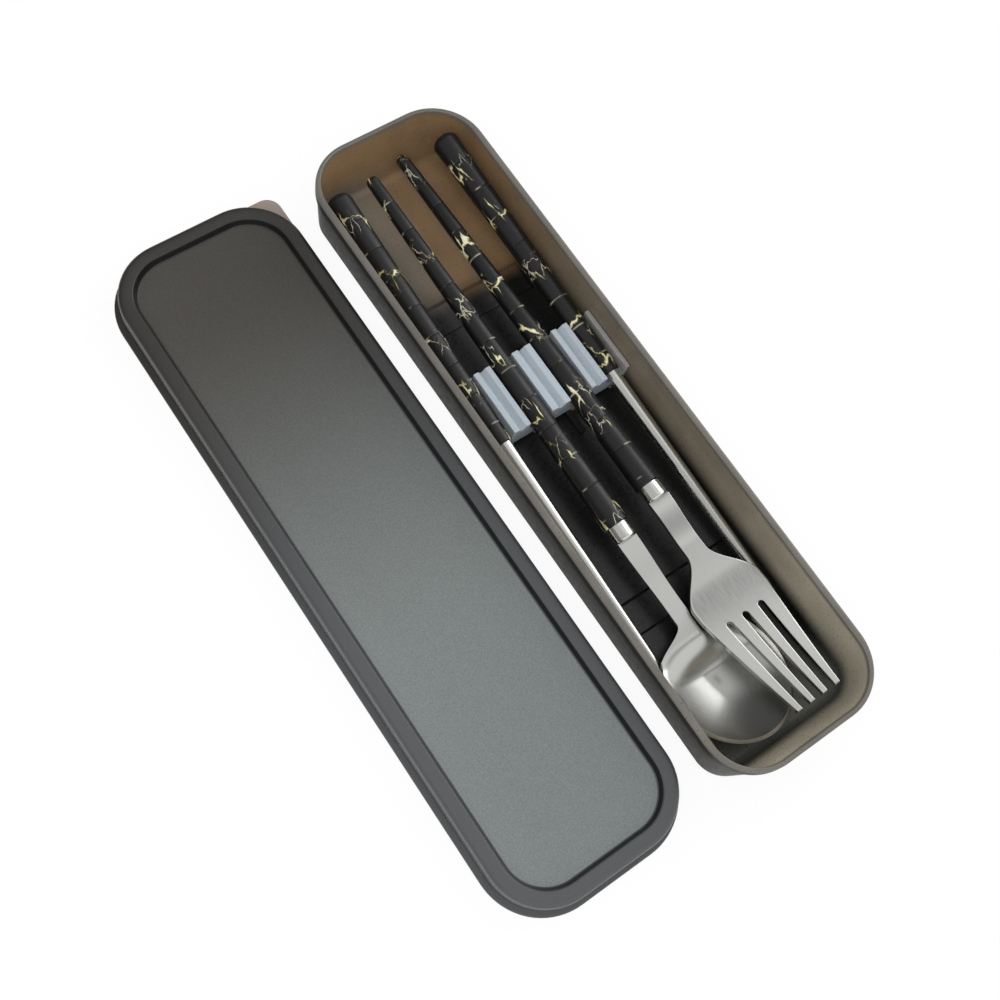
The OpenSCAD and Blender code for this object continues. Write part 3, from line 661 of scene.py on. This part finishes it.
class CASE_OT_tray(bpy.types.Operator):
    """Builds the tray with its rolled rim, its two cross feet and the rails for the clip"""

    bl_idname = "case.tray"
    bl_label = "Tray"

    def execute(self, context):
        t, clip, finishes = values(context).tray, values(context).clip, values(context).finishes
        # The step and the tuck under the rim, the lip's share of the rim, the feet's inset and the rails' root
        step, tuck, lip_share, foot_end, rail_root = 0.2, 0.15, 0.35, 1.0, 0.4
        floor = t.foot_h + t.wall
        rim_z = t.height - t.rim_h
        base_w = t.half_w - t.rim_out - t.wall - t.side_slope * (rim_z - floor)
        base_l = t.half_l - t.rim_out - t.wall - t.end_slope * (rim_z - floor)

        def wall(z, out):
            """A ring at height z, moved out from the inside of the wall."""
            up = z - floor
            r = mix(t.floor_corner, t.rim_r - t.rim_out - t.wall, up / (t.height - floor)) + out
            return rounded_ring(base_w + t.side_slope * up + out, base_l + t.end_slope * up + out, r, z)

        def rim(z, inset):
            """A ring at height z, moved in from the outside of the rim."""
            return rounded_ring(t.half_w - inset, t.half_l - inset, t.rim_r - inset, z)

        lip = (t.rim_out + t.wall) * lip_share
        inner_lip = lip / 2
        outer_r = t.floor_r + t.wall
        under = t.wall - t.side_slope * t.wall
        rings = [wall(z, o) for o, z in arc(under - outer_r, t.foot_h + outer_r, outer_r, -90, 0)]
        rings += [wall(rim_z - step, t.wall), wall(rim_z, t.wall + tuck)]
        rings += [rim(rim_z, step), rim(rim_z + step, 0.0)]
        rings += [rim(z, -o) for o, z in arc(-lip, t.height - lip, lip, 0, 90)]
        rings += [wall(z, o) for o, z in arc(inner_lip, t.height - inner_lip, inner_lip, 90, 180, 5)]
        rings += [wall(z, o) for o, z in arc(-t.floor_r, floor + t.floor_r, t.floor_r, 0, -90)]
        tray = mesh_object("tray_shell", *ring_mesh(rings))

        foot_half = base_w - t.floor_r - foot_end
        clip_near = CLIP_LOW.y / MM - middle("tray").y / MM
        clip_l = (CLIP_HIGH.y - CLIP_LOW.y) / MM
        for side in (-1, 1):
            y = side * t.foot_y
            foot = bar_mesh(foot_half, t.foot_w + 2 * t.foot_h, t.foot_w, 0, t.foot_h + t.wall / 2, y)
            carve(tray, *foot, "UNION")
            channel_w = t.foot_w - 2 * t.wall
            channel = bar_mesh(foot_half - t.wall, t.foot_w, channel_w, t.wall, floor + t.foot_h, y)
            carve(tray, *channel, "DIFFERENCE")
            x = side * (clip.mid_block + t.rail_t) / 2
            low = (x - t.rail_t / 2, clip_near - t.rail_over, t.foot_h + rail_root)
            high = (x + t.rail_t / 2, clip_near + clip_l + t.rail_over / 2, floor + t.rail_h)
            carve(tray, *box_mesh(low, high), "UNION")
        shade(tray, angle=30)
        soften(tray, width=0.35, segments=2, angle=50)
        place = Matrix.Translation(middle("tray"))
        settle(tray, place, "tray", ["tray"], moulded_smoke_polypropylene(finishes))
        tray.data.materials.append(shaded_outside_polypropylene(finishes))
        # The outside, up to the top of the rim, and the underside get the second material, painted dark as
        # shade
        lean, downward, top = 0.25, -0.9, (t.height - 0.6) * MM
        core = Vector(((t.half_w - t.rim_r) * MM, (t.half_l - t.rim_r) * MM))
        for face in tray.data.polygons:
            c = face.center
            away = Vector((c.x - min(max(c.x, -core.x), core.x), c.y - min(max(c.y, -core.y), core.y)))
            outward = away.dot(face.normal.xy) > lean * away.length and away.length > MM
            face.material_index = int((outward and c.z < top) or face.normal.z < downward)
        return {"FINISHED"}


class CASE_OT_clip(bpy.types.Operator):
    """Builds the clip insert from its section across the case"""

    bl_idname = "case.clip"
    bl_label = "Clip insert"

    def execute(self, context):
        c, t = values(context).clip, values(context).tray
        fit, leg = 0.25, 2.4
        floor = t.foot_h + t.wall
        block_h = CLIP_HIGH.z / MM - floor
        top_half = (CLIP_HIGH.x - CLIP_LOW.x) / 2 / MM
        base = top_half + fit - t.side_slope * block_h
        foot, knee = base - t.floor_r - fit, base + t.side_slope * t.floor_r - fit
        cutlery_x = c.mid_block / 2 + c.cutlery_r
        stick_x = cutlery_x + c.cutlery_r + c.side_block + c.stick_r
        side_x = cutlery_x + c.cutlery_r + c.side_block / 2

        def slot(x, seat, r):
            """The outline of a slot from its left lip to its right lip."""
            return [(x - r, block_h)] + arc(x, seat + r, r, 180, 360, 16) + [(x + r, block_h)]

        def notch(x):
            """The outline of a notch along the top of a block."""
            return [(x - c.notch_w / 2, block_h), (x, block_h - c.notch_depth), (x + c.notch_w / 2, block_h)]

        stick, cutlery = (c.stick_seat, c.stick_r), (c.cutlery_seat, c.cutlery_r)
        top = slot(-stick_x, *stick) + notch(-side_x) + slot(-cutlery_x, *cutlery) + notch(0)
        top += slot(cutlery_x, *cutlery) + notch(side_x) + slot(stick_x, *stick)
        rail = c.mid_block / 2 + t.rail_t + fit
        arches = []
        for low, high in ((foot - leg, rail + leg), (rail, -rail), (-rail - leg, leg - foot)):
            arches += [(low, 0), (low, c.arch_h), (high, c.arch_h), (high, 0)]
        section = [(-foot, 0), (-knee, t.floor_r), (-top_half, block_h)] + top
        section += [(top_half, block_h), (knee, t.floor_r), (foot, 0)] + arches
        near, far = CLIP_LOW.y / MM, CLIP_HIGH.y / MM
        rings = [[(x, y, floor + z) for x, z in section] for y in (near, far)]
        clip = mesh_object("clip_comb", *ring_mesh(rings))
        shade(clip, angle=30)
        soften(clip, width=0.22, segments=2, angle=40)
        material = natural_polypropylene(values(context).finishes, stick_x + c.stick_r)
        place = Matrix.Translation((middle("tray").x, 0.0, 0.0))
        settle(clip, place, "tray", ["clip_insert"], material)
        return {"FINISHED"}


class CASE_OT_lid(bpy.types.Operator):
    """Builds the lid with its raised rim, sunk panel, flange and corner tab"""

    bl_idname = "case.lid"
    bl_label = "Lid"

    def execute(self, context):
        s, t, finishes = values(context).lid, values(context).tray, values(context).finishes
        fillet, ease, slope_steps = 0.4, 0.2, 12
        flange = s.skirt_t + s.flange_out
        gap = s.half_w - t.half_w - flange
        skirt_in, skirt_out = gap, gap + s.skirt_t
        panel_z = s.height - s.panel_depth
        roof_z = s.height - s.thick
        bead_in = skirt_out - s.bead_w
        panel_in = bead_in - s.panel_slope
        edge = s.flange_t * 0.3
        rim_outer = skirt_out + s.flange_out
        # The snap bead's steep upper side, its easy lower side, and its place below the tray's rim
        catch, lead_in, below = 1.2 * s.snap_in, 2 * s.snap_in, 1.5 * s.snap_in
        snap_z = roof_z - s.rim_h - below
        under_panel = panel_in + s.thick * 0.6
        profile = [(under_panel, panel_z - s.thick)]
        profile += [(-t.rim_out - t.wall - gap, roof_z), (skirt_in, roof_z)]
        profile += [(skirt_in, snap_z + catch), (skirt_in - s.snap_in, snap_z)]
        profile += [(skirt_in, snap_z - lead_in), (skirt_in, 0), (rim_outer - edge, 0)]
        profile += arc(rim_outer - edge, edge, edge, -90, 0, 4)
        profile += arc(rim_outer - edge, s.flange_t - edge, edge, 0, 90, 4)
        profile += arc(skirt_out + fillet, s.flange_t + fillet, fillet, 270, 180, 4)
        profile += arc(skirt_out - s.thick, roof_z, s.thick, 0, 90, 10)
        run = s.panel_slope + ease
        for k in range(slope_steps + 1):
            u = k / slope_steps
            profile.append((bead_in + ease - run * u, s.height - s.panel_depth * float(smooth_step(u))))
        rings = [rounded_ring(t.half_w + o, t.half_l + o, t.rim_r + o, z) for o, z in profile]
        lid = mesh_object("lid_cover", *ring_mesh(rings))
        shade(lid, angle=32)
        smooth = frosted_polypropylene(
            "smooth_polypropylene", finishes.lid, 0.0, 0.004, 0.26, 0.34, finishes.lid_far_shade
        )
        frosted = frosted_polypropylene(
            "frosted_polypropylene", finishes.panel, 0.0, 0.03, 0.42, 0.52, finishes.panel_far_shade
        )
        # The slope's near black is painted shade; its low roughness is real gloss
        polished = frosted_polypropylene("shaded_groove_polypropylene", finishes.groove_shade, 0.0, 0.002, 0.16, 0.22)
        place = Matrix.Translation(middle("lid"))
        settle(lid, place, "lid", ["lid"], smooth)
        lid.data.materials.append(frosted)
        lid.data.materials.append(polished)
        # The flat panel is frosted, and the slope that falls to it is glossy and painted black as shade between
        # its two bends
        level, line_low, line_high = 0.02 * MM, 0.4 * MM, (s.panel_depth - 0.3) * MM
        upward, steepest, flattest = 0.9, 0.05, 0.93
        for face in lid.data.polygons:
            above = face.center.z - panel_z * MM
            flat = abs(above) < level and face.normal.z > upward
            slope = line_low < above < line_high and steepest < face.normal.z < flattest
            inward = face.normal.xy.dot(face.center.xy) < 0
            face.material_index = 1 if flat else 2 if slope and inward else 0

        size, root = s.corner * 0.9, flange * 0.6
        bottom, top = 0.1, s.flange_t - 0.02
        arc_from, arc_to = 8, 82
        x, y = s.half_w, s.half_l
        outline = [(x - size, y - root), (x - size, y)]
        outline += list(reversed(arc(x - s.tab_r, y - s.tab_r, s.tab_r, 0, 90, 12)))
        outline += [(x, y - size), (x - root, y - size)]
        outline += arc(x - s.corner, y - s.corner, s.corner - s.flange_out / 2, arc_from, arc_to, 16)
        tab = mesh_object("lid_tab", *ring_mesh([[(px, py, z) for px, py in outline] for z in (bottom, top)]))
        shade(tab, angle=32)
        soften(tab, width=0.35, segments=3, angle=50)
        thin = frosted_polypropylene("frosted_polypropylene_thin", finishes.tab, 0.55, 0.01, 0.36, 0.46)
        settle(tab, place, "lid", ["lid"], thin)
        return {"FINISHED"}


def handle_outline(end_d, mouth_d, total, end_round, sticks):
    """Outline of a handle with its ring lines, closed at the mouth."""
    lip = 0.3
    outline = [(0.0, 0.0)] + arc(end_d / 2 - end_round, end_round, end_round, -90, 0, 8)
    count = int((total - sticks.ring_pitch / 2) / sticks.ring_pitch)
    for k in range(1, count + 1):
        s = k * sticks.ring_pitch
        r = mix(end_d, mouth_d, s / total) / 2
        outline += [(r - sticks.ring_depth * share, s + along) for along, share in RING_LINE]
    return outline + arc(mouth_d / 2 - lip, total - lip, lip, 0, 90, 5) + [(0.0, total)]


def printed_grip(context, body, outline, shift):
    """Builds a printed handle from its outline and returns its frame."""
    place = line_of(body + "_handle")
    grip = mesh_object(body + "_grip", *turned_mesh(outline))
    shade(grip, TURNED_CREASE)
    name = "printed_black_abs_" + body.split("_")[0]
    black = printed_black_abs(name, values(context).finishes, shift, values(context).sticks.ring_pitch)
    settle(grip, place, body, [body + "_handle"], black)
    return place


class CASE_OT_chopsticks(bpy.types.Operator):
    """Builds the pair of chopsticks: printed handles and steel shafts"""

    bl_idname = "case.chopsticks"
    bl_label = "Chopsticks"

    def execute(self, context):
        k = values(context).sticks
        end_round, chamfer, shaft_r, tip_r = 2.4, 0.15, k.shaft_d / 2, k.tip_d / 2
        tip_round = tip_r * 0.8
        handle = handle_outline(k.end_d, k.joint_d, k.handle, end_round, k)
        steel_line = [(0.0, k.handle), (shaft_r - chamfer, k.handle), (shaft_r, k.handle + chamfer)]
        steel_line += arc(tip_r - tip_round, k.total - tip_round, tip_round, 0, 90, 8)
        steel_line += [(0.0, k.total)]
        steel = polished_stainless_steel(values(context).finishes)
        for side, shift in (("left", (0.031, 0.017, 0.052)), ("right", (0.083, 0.061, 0.012))):
            body = side + "_chopstick"
            place = printed_grip(context, body, handle, shift)
            shaft = mesh_object(body + "_steel", *turned_mesh(steel_line, 48))
            shade(shaft, TURNED_CREASE)
            settle(shaft, place, body, [body + "_shaft"], steel)
        return {"FINISHED"}


def grip_and_collar(context, body, shift):
    """Builds the handle and the collar of the spoon or the fork and returns their frame."""
    c = values(context).cutlery
    end_round = c.end_d * 0.4
    outline = handle_outline(c.end_d, c.mouth_d, c.handle, end_round, values(context).sticks)
    place = printed_grip(context, body, outline, shift)
    r, back, nose, end = c.collar_d / 2, 0.25, 0.9, c.handle + c.collar
    outline = [(0.0, c.handle)] + arc(r - back, c.handle + back, back, -90, 0, 4)
    outline += arc(r - nose, end - nose, nose, 0, 90, 8) + [(0.0, end)]
    ring = mesh_object(body + "_ferrule", *turned_mesh(outline))
    shade(ring, TURNED_CREASE)
    steel = polished_stainless_steel(values(context).finishes)
    settle(ring, place, body, [body + "_collar"], steel)
    return place


def sheet_mesh(rows):
    """Vertices and faces of a grid of points, row by row."""
    n = len(rows[0])
    verts = [tuple(p) for row in rows for p in row]
    faces = []
    for i in range(len(rows) - 1):
        for j in range(n - 1):
            a = i * n + j
            faces.append((a, a + 1, a + n + 1, a + n))
    return verts, faces


def thicken(obj, thickness, edge):
    """Gives a sheet its thickness about its middle and rounds its edge, both in millimetres."""
    solid = obj.modifiers.new("thickness", "SOLIDIFY")
    solid.thickness, solid.offset = thickness * MM, 0.0
    solid.use_even_offset = True
    soften(obj, width=edge, segments=3, angle=60)


class CASE_OT_spoon(bpy.types.Operator):
    """Builds the spoon: printed handle, collar and stamped bowl"""

    bl_idname = "case.spoon"
    bl_label = "Spoon"

    def execute(self, context):
        c = values(context).cutlery
        place = grip_and_collar(context, "spoon", (0.012, 0.094, 0.037))
        start = c.spoon_l - c.bowl_l
        half_l = c.bowl_l / 2
        centre = c.spoon_l - half_l
        # The neck dips a little and widens over the flare, and the bowl sinks over the run after the landing
        dip, flare, landing, run = 0.6, 7.0, 5.0, 12.0
        narrowest, thin_from, lead = start * 0.8, start * 0.4, 2.0
        rise_power, sink_power, extra_t = 1.4, 0.9, 0.2
        neck_rows, bowl_rows, columns, last_angle = 24, 64, 41, 178.6
        rows = []
        stations = [-COLLAR_OVERLAP] + list(np.linspace(0.0, start, neck_rows)[:-1])
        angles = np.linspace(0.0, last_angle, bowl_rows)
        stations += [centre - half_l * math.cos(math.radians(a)) for a in angles]
        for u in stations:
            swell = max(0.0, 1 - ((u - centre) / half_l) ** 2)
            neck = mix(c.spoon_neck, c.spoon_waist, smooth_step(u / narrowest)) / 2
            bowl = c.bowl_w / 2 * math.sqrt(swell)
            blend = float(smooth_step((u - start) / flare))
            half = bowl if u > centre else neck + max(0.0, bowl - neck) * blend
            climb = max(0.0, (u - start + lead) / (c.bowl_l + lead))
            rim = (c.bowl_rise + dip) * climb ** rise_power - dip * float(smooth_step(u / start))
            sink = c.bowl_depth * swell ** sink_power * float(smooth_step((u - start - landing) / run))
            thick = mix(c.neck_t, c.bowl_t, float(smooth_step((u - thin_from) / (start - thin_from))))
            row = []
            for v in np.linspace(-1.0, 1.0, columns):
                v = math.sin(v * math.pi / 2)
                z = rim - sink * (1 - v * v) + (c.neck_t - thick) / 2
                row.append((half * v, -c.handle - c.collar - u, z))
            rows.append(row)
        bowl = mesh_object("spoon_bowl_steel", *sheet_mesh(rows))
        shade(bowl, angle=60)
        thicken(bowl, thickness=c.bowl_t + extra_t, edge=0.4)
        steel = brushed_stainless_steel("fine_brushed_stainless_steel", values(context).finishes, 0.18, 0.23)
        settle(bowl, place, "spoon", ["spoon_bowl"], steel)
        return {"FINISHED"}


class CASE_OT_fork(bpy.types.Operator):
    """Builds the fork: printed handle, collar and stamped head with its tines"""

    bl_idname = "case.fork"
    bl_label = "Fork"

    def execute(self, context):
        c = values(context).cutlery
        place = grip_and_collar(context, "fork", (0.071, 0.043, 0.026))
        # Along the head in millimetres: the neck's taper, the shoulders, the widest place, the dip and the rise
        neck_l, shoulder, shoulder_l, widest, dip_l, rise_from = 10, 19, 15, 38, 16, 28
        rise_power = 1.6
        lanes, columns, neck_rows, round_rows, tine_rows = 4, 8, 48, 7, 44
        root = c.fork_l - c.slot_l
        pitch_tip = (c.fork_tip_w - c.tine_w) / (lanes - 1)

        def half(u):
            """Half width of the head's outline."""
            waist = mix(c.fork_neck, c.fork_waist, float(smooth_step(u / neck_l)))
            body = mix(waist, c.fork_w, float(smooth_step((u - shoulder) / shoulder_l)))
            return mix(body, c.fork_tip_w, max(0.0, (u - widest) / (c.fork_l - widest))) / 2

        pitch_root = half(root) / 2

        def slot_edges(u, k):
            """Left and right edge of slot k at distance u, which meet before the slot starts."""
            t = (u - root) / c.slot_l
            x = k * mix(pitch_root, pitch_tip, max(0.0, t))
            if t <= 0:
                share = half(u) / half(root)
                return x * share, x * share
            full = mix(c.slot_w, pitch_tip - c.tine_w, t) / 2
            into = (u - root) / (c.slot_w / 2)
            w = full if into >= 1 else full * math.sqrt(1 - (1 - into) ** 2)
            return x - w, x + w

        def level(u):
            """Height of the head's middle line."""
            up = max(0.0, (u - rise_from) / (c.fork_l - rise_from)) ** rise_power
            return -c.fork_dip * float(smooth_step(u / dip_l)) + c.fork_rise * up

        slot_r = c.slot_w / 2
        stations = [-COLLAR_OVERLAP] + list(np.linspace(0.0, root, neck_rows))
        angles = np.linspace(15, 90, round_rows)
        stations += [root + slot_r * (1 - math.cos(math.radians(a))) for a in angles]
        stations += list(np.linspace(root + slot_r, c.fork_l, tine_rows)[1:])
        verts, faces = [], []
        for lane in range(lanes):
            rows = []
            for u in stations:
                left = -half(u) if lane == 0 else slot_edges(u, lane - 2)[1]
                right = half(u) if lane == lanes - 1 else slot_edges(u, lane - 1)[0]
                across = [mix(left, right, j / columns) for j in range(columns + 1)]
                rows.append([(x, -c.handle - c.collar - u, level(u)) for x in across])
            lane_verts, lane_faces = sheet_mesh(rows)
            faces += [tuple(i + len(verts) for i in f) for f in lane_faces]
            verts += lane_verts
        head = mesh_object("fork_head_steel", verts, faces)
        shade(head, angle=60)
        thicken(head, thickness=c.fork_t, edge=0.45)
        steel = brushed_stainless_steel("brushed_stainless_steel", values(context).finishes, 0.15, 0.2)
        settle(head, place, "fork", ["fork_head"], steel)
        return {"FINISHED"}


# Stage

def add_camera(scene, s):
    """Adds the camera at its angles and its distance from the tray."""
    a, e, g = s.azimuth, s.elevation, s.roll
    back = Vector((math.sin(a) * math.cos(e), -math.cos(a) * math.cos(e), math.sin(e)))
    level = Vector((math.cos(a), math.sin(a), 0.0))
    rise = back.cross(level)
    right = level * math.cos(g) + rise * math.sin(g)
    up = rise * math.cos(g) - level * math.sin(g)
    data = bpy.data.cameras.new("camera")
    data.lens, data.sensor_width = s.lens, 36.0
    data.clip_start, data.clip_end = 0.01, 20.0
    camera = bpy.data.objects.new("camera", data)
    scene.collection.objects.link(camera)
    eye = middle("tray") + (back * s.distance - right * s.across - up * s.along) * MM
    camera.matrix_world = Matrix.Translation(eye) @ Matrix((right, up, back)).transposed().to_4x4()
    scene.camera = camera


def add_table():
    """Adds the table, a little below the case."""
    reach, drop = 3000.0, 0.05
    rows = [[(-reach, y, -drop), (reach, y, -drop)] for y in (-reach, reach)]
    floor = mesh_object("table", *sheet_mesh(rows))
    floor.data.materials.append(white_paper())


def white_paper():
    # Matt white paper: a glow makes most of its white, so that the eye sees it white with a soft shadow, and
    # less of that glow goes to what mirrors the paper or lets it shine through
    seen, dim = 0.91, 0.3
    made, node, shader = new_material("white_paper", srgb("#f2f2f0"), roughness=0.9)
    path = node("LightPath", out=None).outputs
    rays = {0: path["Is Glossy Ray"], 1: path["Is Transmission Ray"]}
    mirrored = node("Math", rays, operation="MAXIMUM")
    mirrored = node("Math", {0: mirrored, 1: dim}, operation="MULTIPLY")
    share = node("Math", {0: path["Is Camera Ray"], 1: seen, 2: mirrored}, operation="MULTIPLY_ADD")
    glow = node("Emission", {"Color": (1, 1, 1), "Strength": 1.0})
    cover = node("MixShader", {0: share, 1: shader.outputs["BSDF"], 2: glow})
    link(cover, made.node_tree.nodes["Material Output"], "Surface")
    return made


def studio_world(s):
    """The studio around the case, as the eye, polished surfaces and matt surfaces see it."""
    band_y, flag_way, dark_share = 0.2, (0.4, 0.21, 0.89), 0.12
    world = bpy.data.worlds.new("studio")
    node = empty_tree(world)
    path = node("LightPath", out=None).outputs
    way = node("TexCoord", out="Generated")
    axes = node("SeparateXYZ", {0: way}, None).outputs
    # A soft band of light runs over the case and is brighter to the right, and another lies low in front
    off = node("Math", {0: axes["Y"], 1: band_y}, operation="SUBTRACT")
    off = node("Math", {0: off}, operation="ABSOLUTE")
    band = node("MapRange", {"Value": off, **between(0.45, 0.18)}, **SMOOTH)
    side = node("MapRange", {"Value": axes["X"], **between(-0.35, 0.5, 0.55)}, **SMOOTH)
    over = node("Math", {0: band, 1: side}, operation="MULTIPLY")
    # A small dark flag hangs before the band, and the fork's broad part mirrors it
    aside = node("VectorMath", {0: way, 1: flag_way}, "Value", operation="DISTANCE")
    flag = node("MapRange", {"Value": aside, **between(0.13, 0.02, 1.0, 0.25)}, **SMOOTH)
    over = node("Math", {0: over, 1: flag}, operation="MULTIPLY")
    front = node("MapRange", {"Value": axes["Y"], **between(-0.08, -0.35)}, **SMOOTH)
    lit = node("Math", {0: over, 1: front}, operation="MAXIMUM")
    mirror = node("MapRange", {"Value": lit, "To Min": s.sky * dark_share, "To Max": s.sky})
    # The eye and what shines through see the backdrop plain white, polished surfaces mirror it between dark
    # flags, and matt surfaces get the studio's even soft light
    rays = {0: path["Is Camera Ray"], 1: path["Is Transmission Ray"]}
    plain = node("Math", rays, operation="MAXIMUM")
    backdrop = node("Mix", {0: plain, 2: mirror, 3: 1.0})
    strength = node("Mix", {0: path["Is Diffuse Ray"], 2: backdrop, 3: s.even})
    sky = node("Background", {"Color": (1, 1, 1), "Strength": strength})
    node("OutputWorld", {"Surface": sky}, None)
    return world


def add_lamps(scene, s):
    """Adds a key lamp above the case and a side lamp that draws the highlights on the steel."""
    for name, place, size, power, glossy in (
        ("key", (-0.18, -0.12, 0.55), 0.4, s.key, False),
        ("side", (0.6, 0.03, 0.38), 0.5, s.side, True),
    ):
        lamp = bpy.data.lights.new(name, "AREA")
        lamp.energy, lamp.size = power, size
        light = bpy.data.objects.new(name, lamp)
        light.location = place
        light.visible_glossy, light.visible_camera = glossy, False
        light.rotation_euler = (-Vector(place)).to_track_quat("-Z", "Y").to_euler()
        scene.collection.objects.link(light)


class CASE_OT_stage(bpy.types.Operator):
    """Sets up the white table, the soft light and the camera"""

    bl_idname = "case.stage"
    bl_label = "Stage"

    def execute(self, context):
        settings = values(context).stage
        context.scene.view_settings.view_transform = "Standard"
        add_camera(context.scene, settings)
        add_table()
        context.scene.world = studio_world(settings)
        add_lamps(context.scene, settings)
        return {"FINISHED"}


class ChopstickCase(bpy.types.PropertyGroup):
    """Sizes, colours and stage settings of the case"""

    tray: PointerProperty(type=TraySizes)
    lid: PointerProperty(type=LidSizes)
    clip: PointerProperty(type=ClipSizes)
    sticks: PointerProperty(type=StickSizes)
    cutlery: PointerProperty(type=CutlerySizes)
    finishes: PointerProperty(type=Finishes)
    stage: PointerProperty(type=StageSettings)


PIECES = (
    CASE_OT_tray, CASE_OT_clip, CASE_OT_lid, CASE_OT_chopsticks, CASE_OT_spoon, CASE_OT_fork, CASE_OT_stage,
)
GROUPS = (TraySizes, LidSizes, ClipSizes, StickSizes, CutlerySizes, Finishes, StageSettings, ChopstickCase)


class CASE_PT_panel(bpy.types.Panel):
    """Lists the pieces of the case and their values"""

    bl_idname = "CASE_PT_panel"
    bl_label = "Chopstick Case"
    bl_space_type = "VIEW_3D"
    bl_region_type = "UI"
    bl_category = "Chopstick Case"

    def draw(self, context):
        layout = self.layout
        for piece in PIECES:
            layout.operator(piece.bl_idname)
        for group in ("finishes", "tray", "lid", "clip", "sticks", "cutlery", "stage"):
            column = layout.column(align=True)
            holder = getattr(values(context), group)
            for key in holder.__annotations__:
                column.prop(holder, key)


def register():
    for made in (*GROUPS, *PIECES, CASE_PT_panel):
        bpy.utils.register_class(made)
    bpy.types.Scene.chopstick_case = PointerProperty(type=ChopstickCase)


def unregister():
    del bpy.types.Scene.chopstick_case
    for made in reversed((*GROUPS, *PIECES, CASE_PT_panel)):
        bpy.utils.unregister_class(made)


def main():
    register()
    for piece in PIECES:
        getattr(bpy.ops.case, piece.bl_idname.split(".")[1])()


if __name__ == "__main__":
    main()
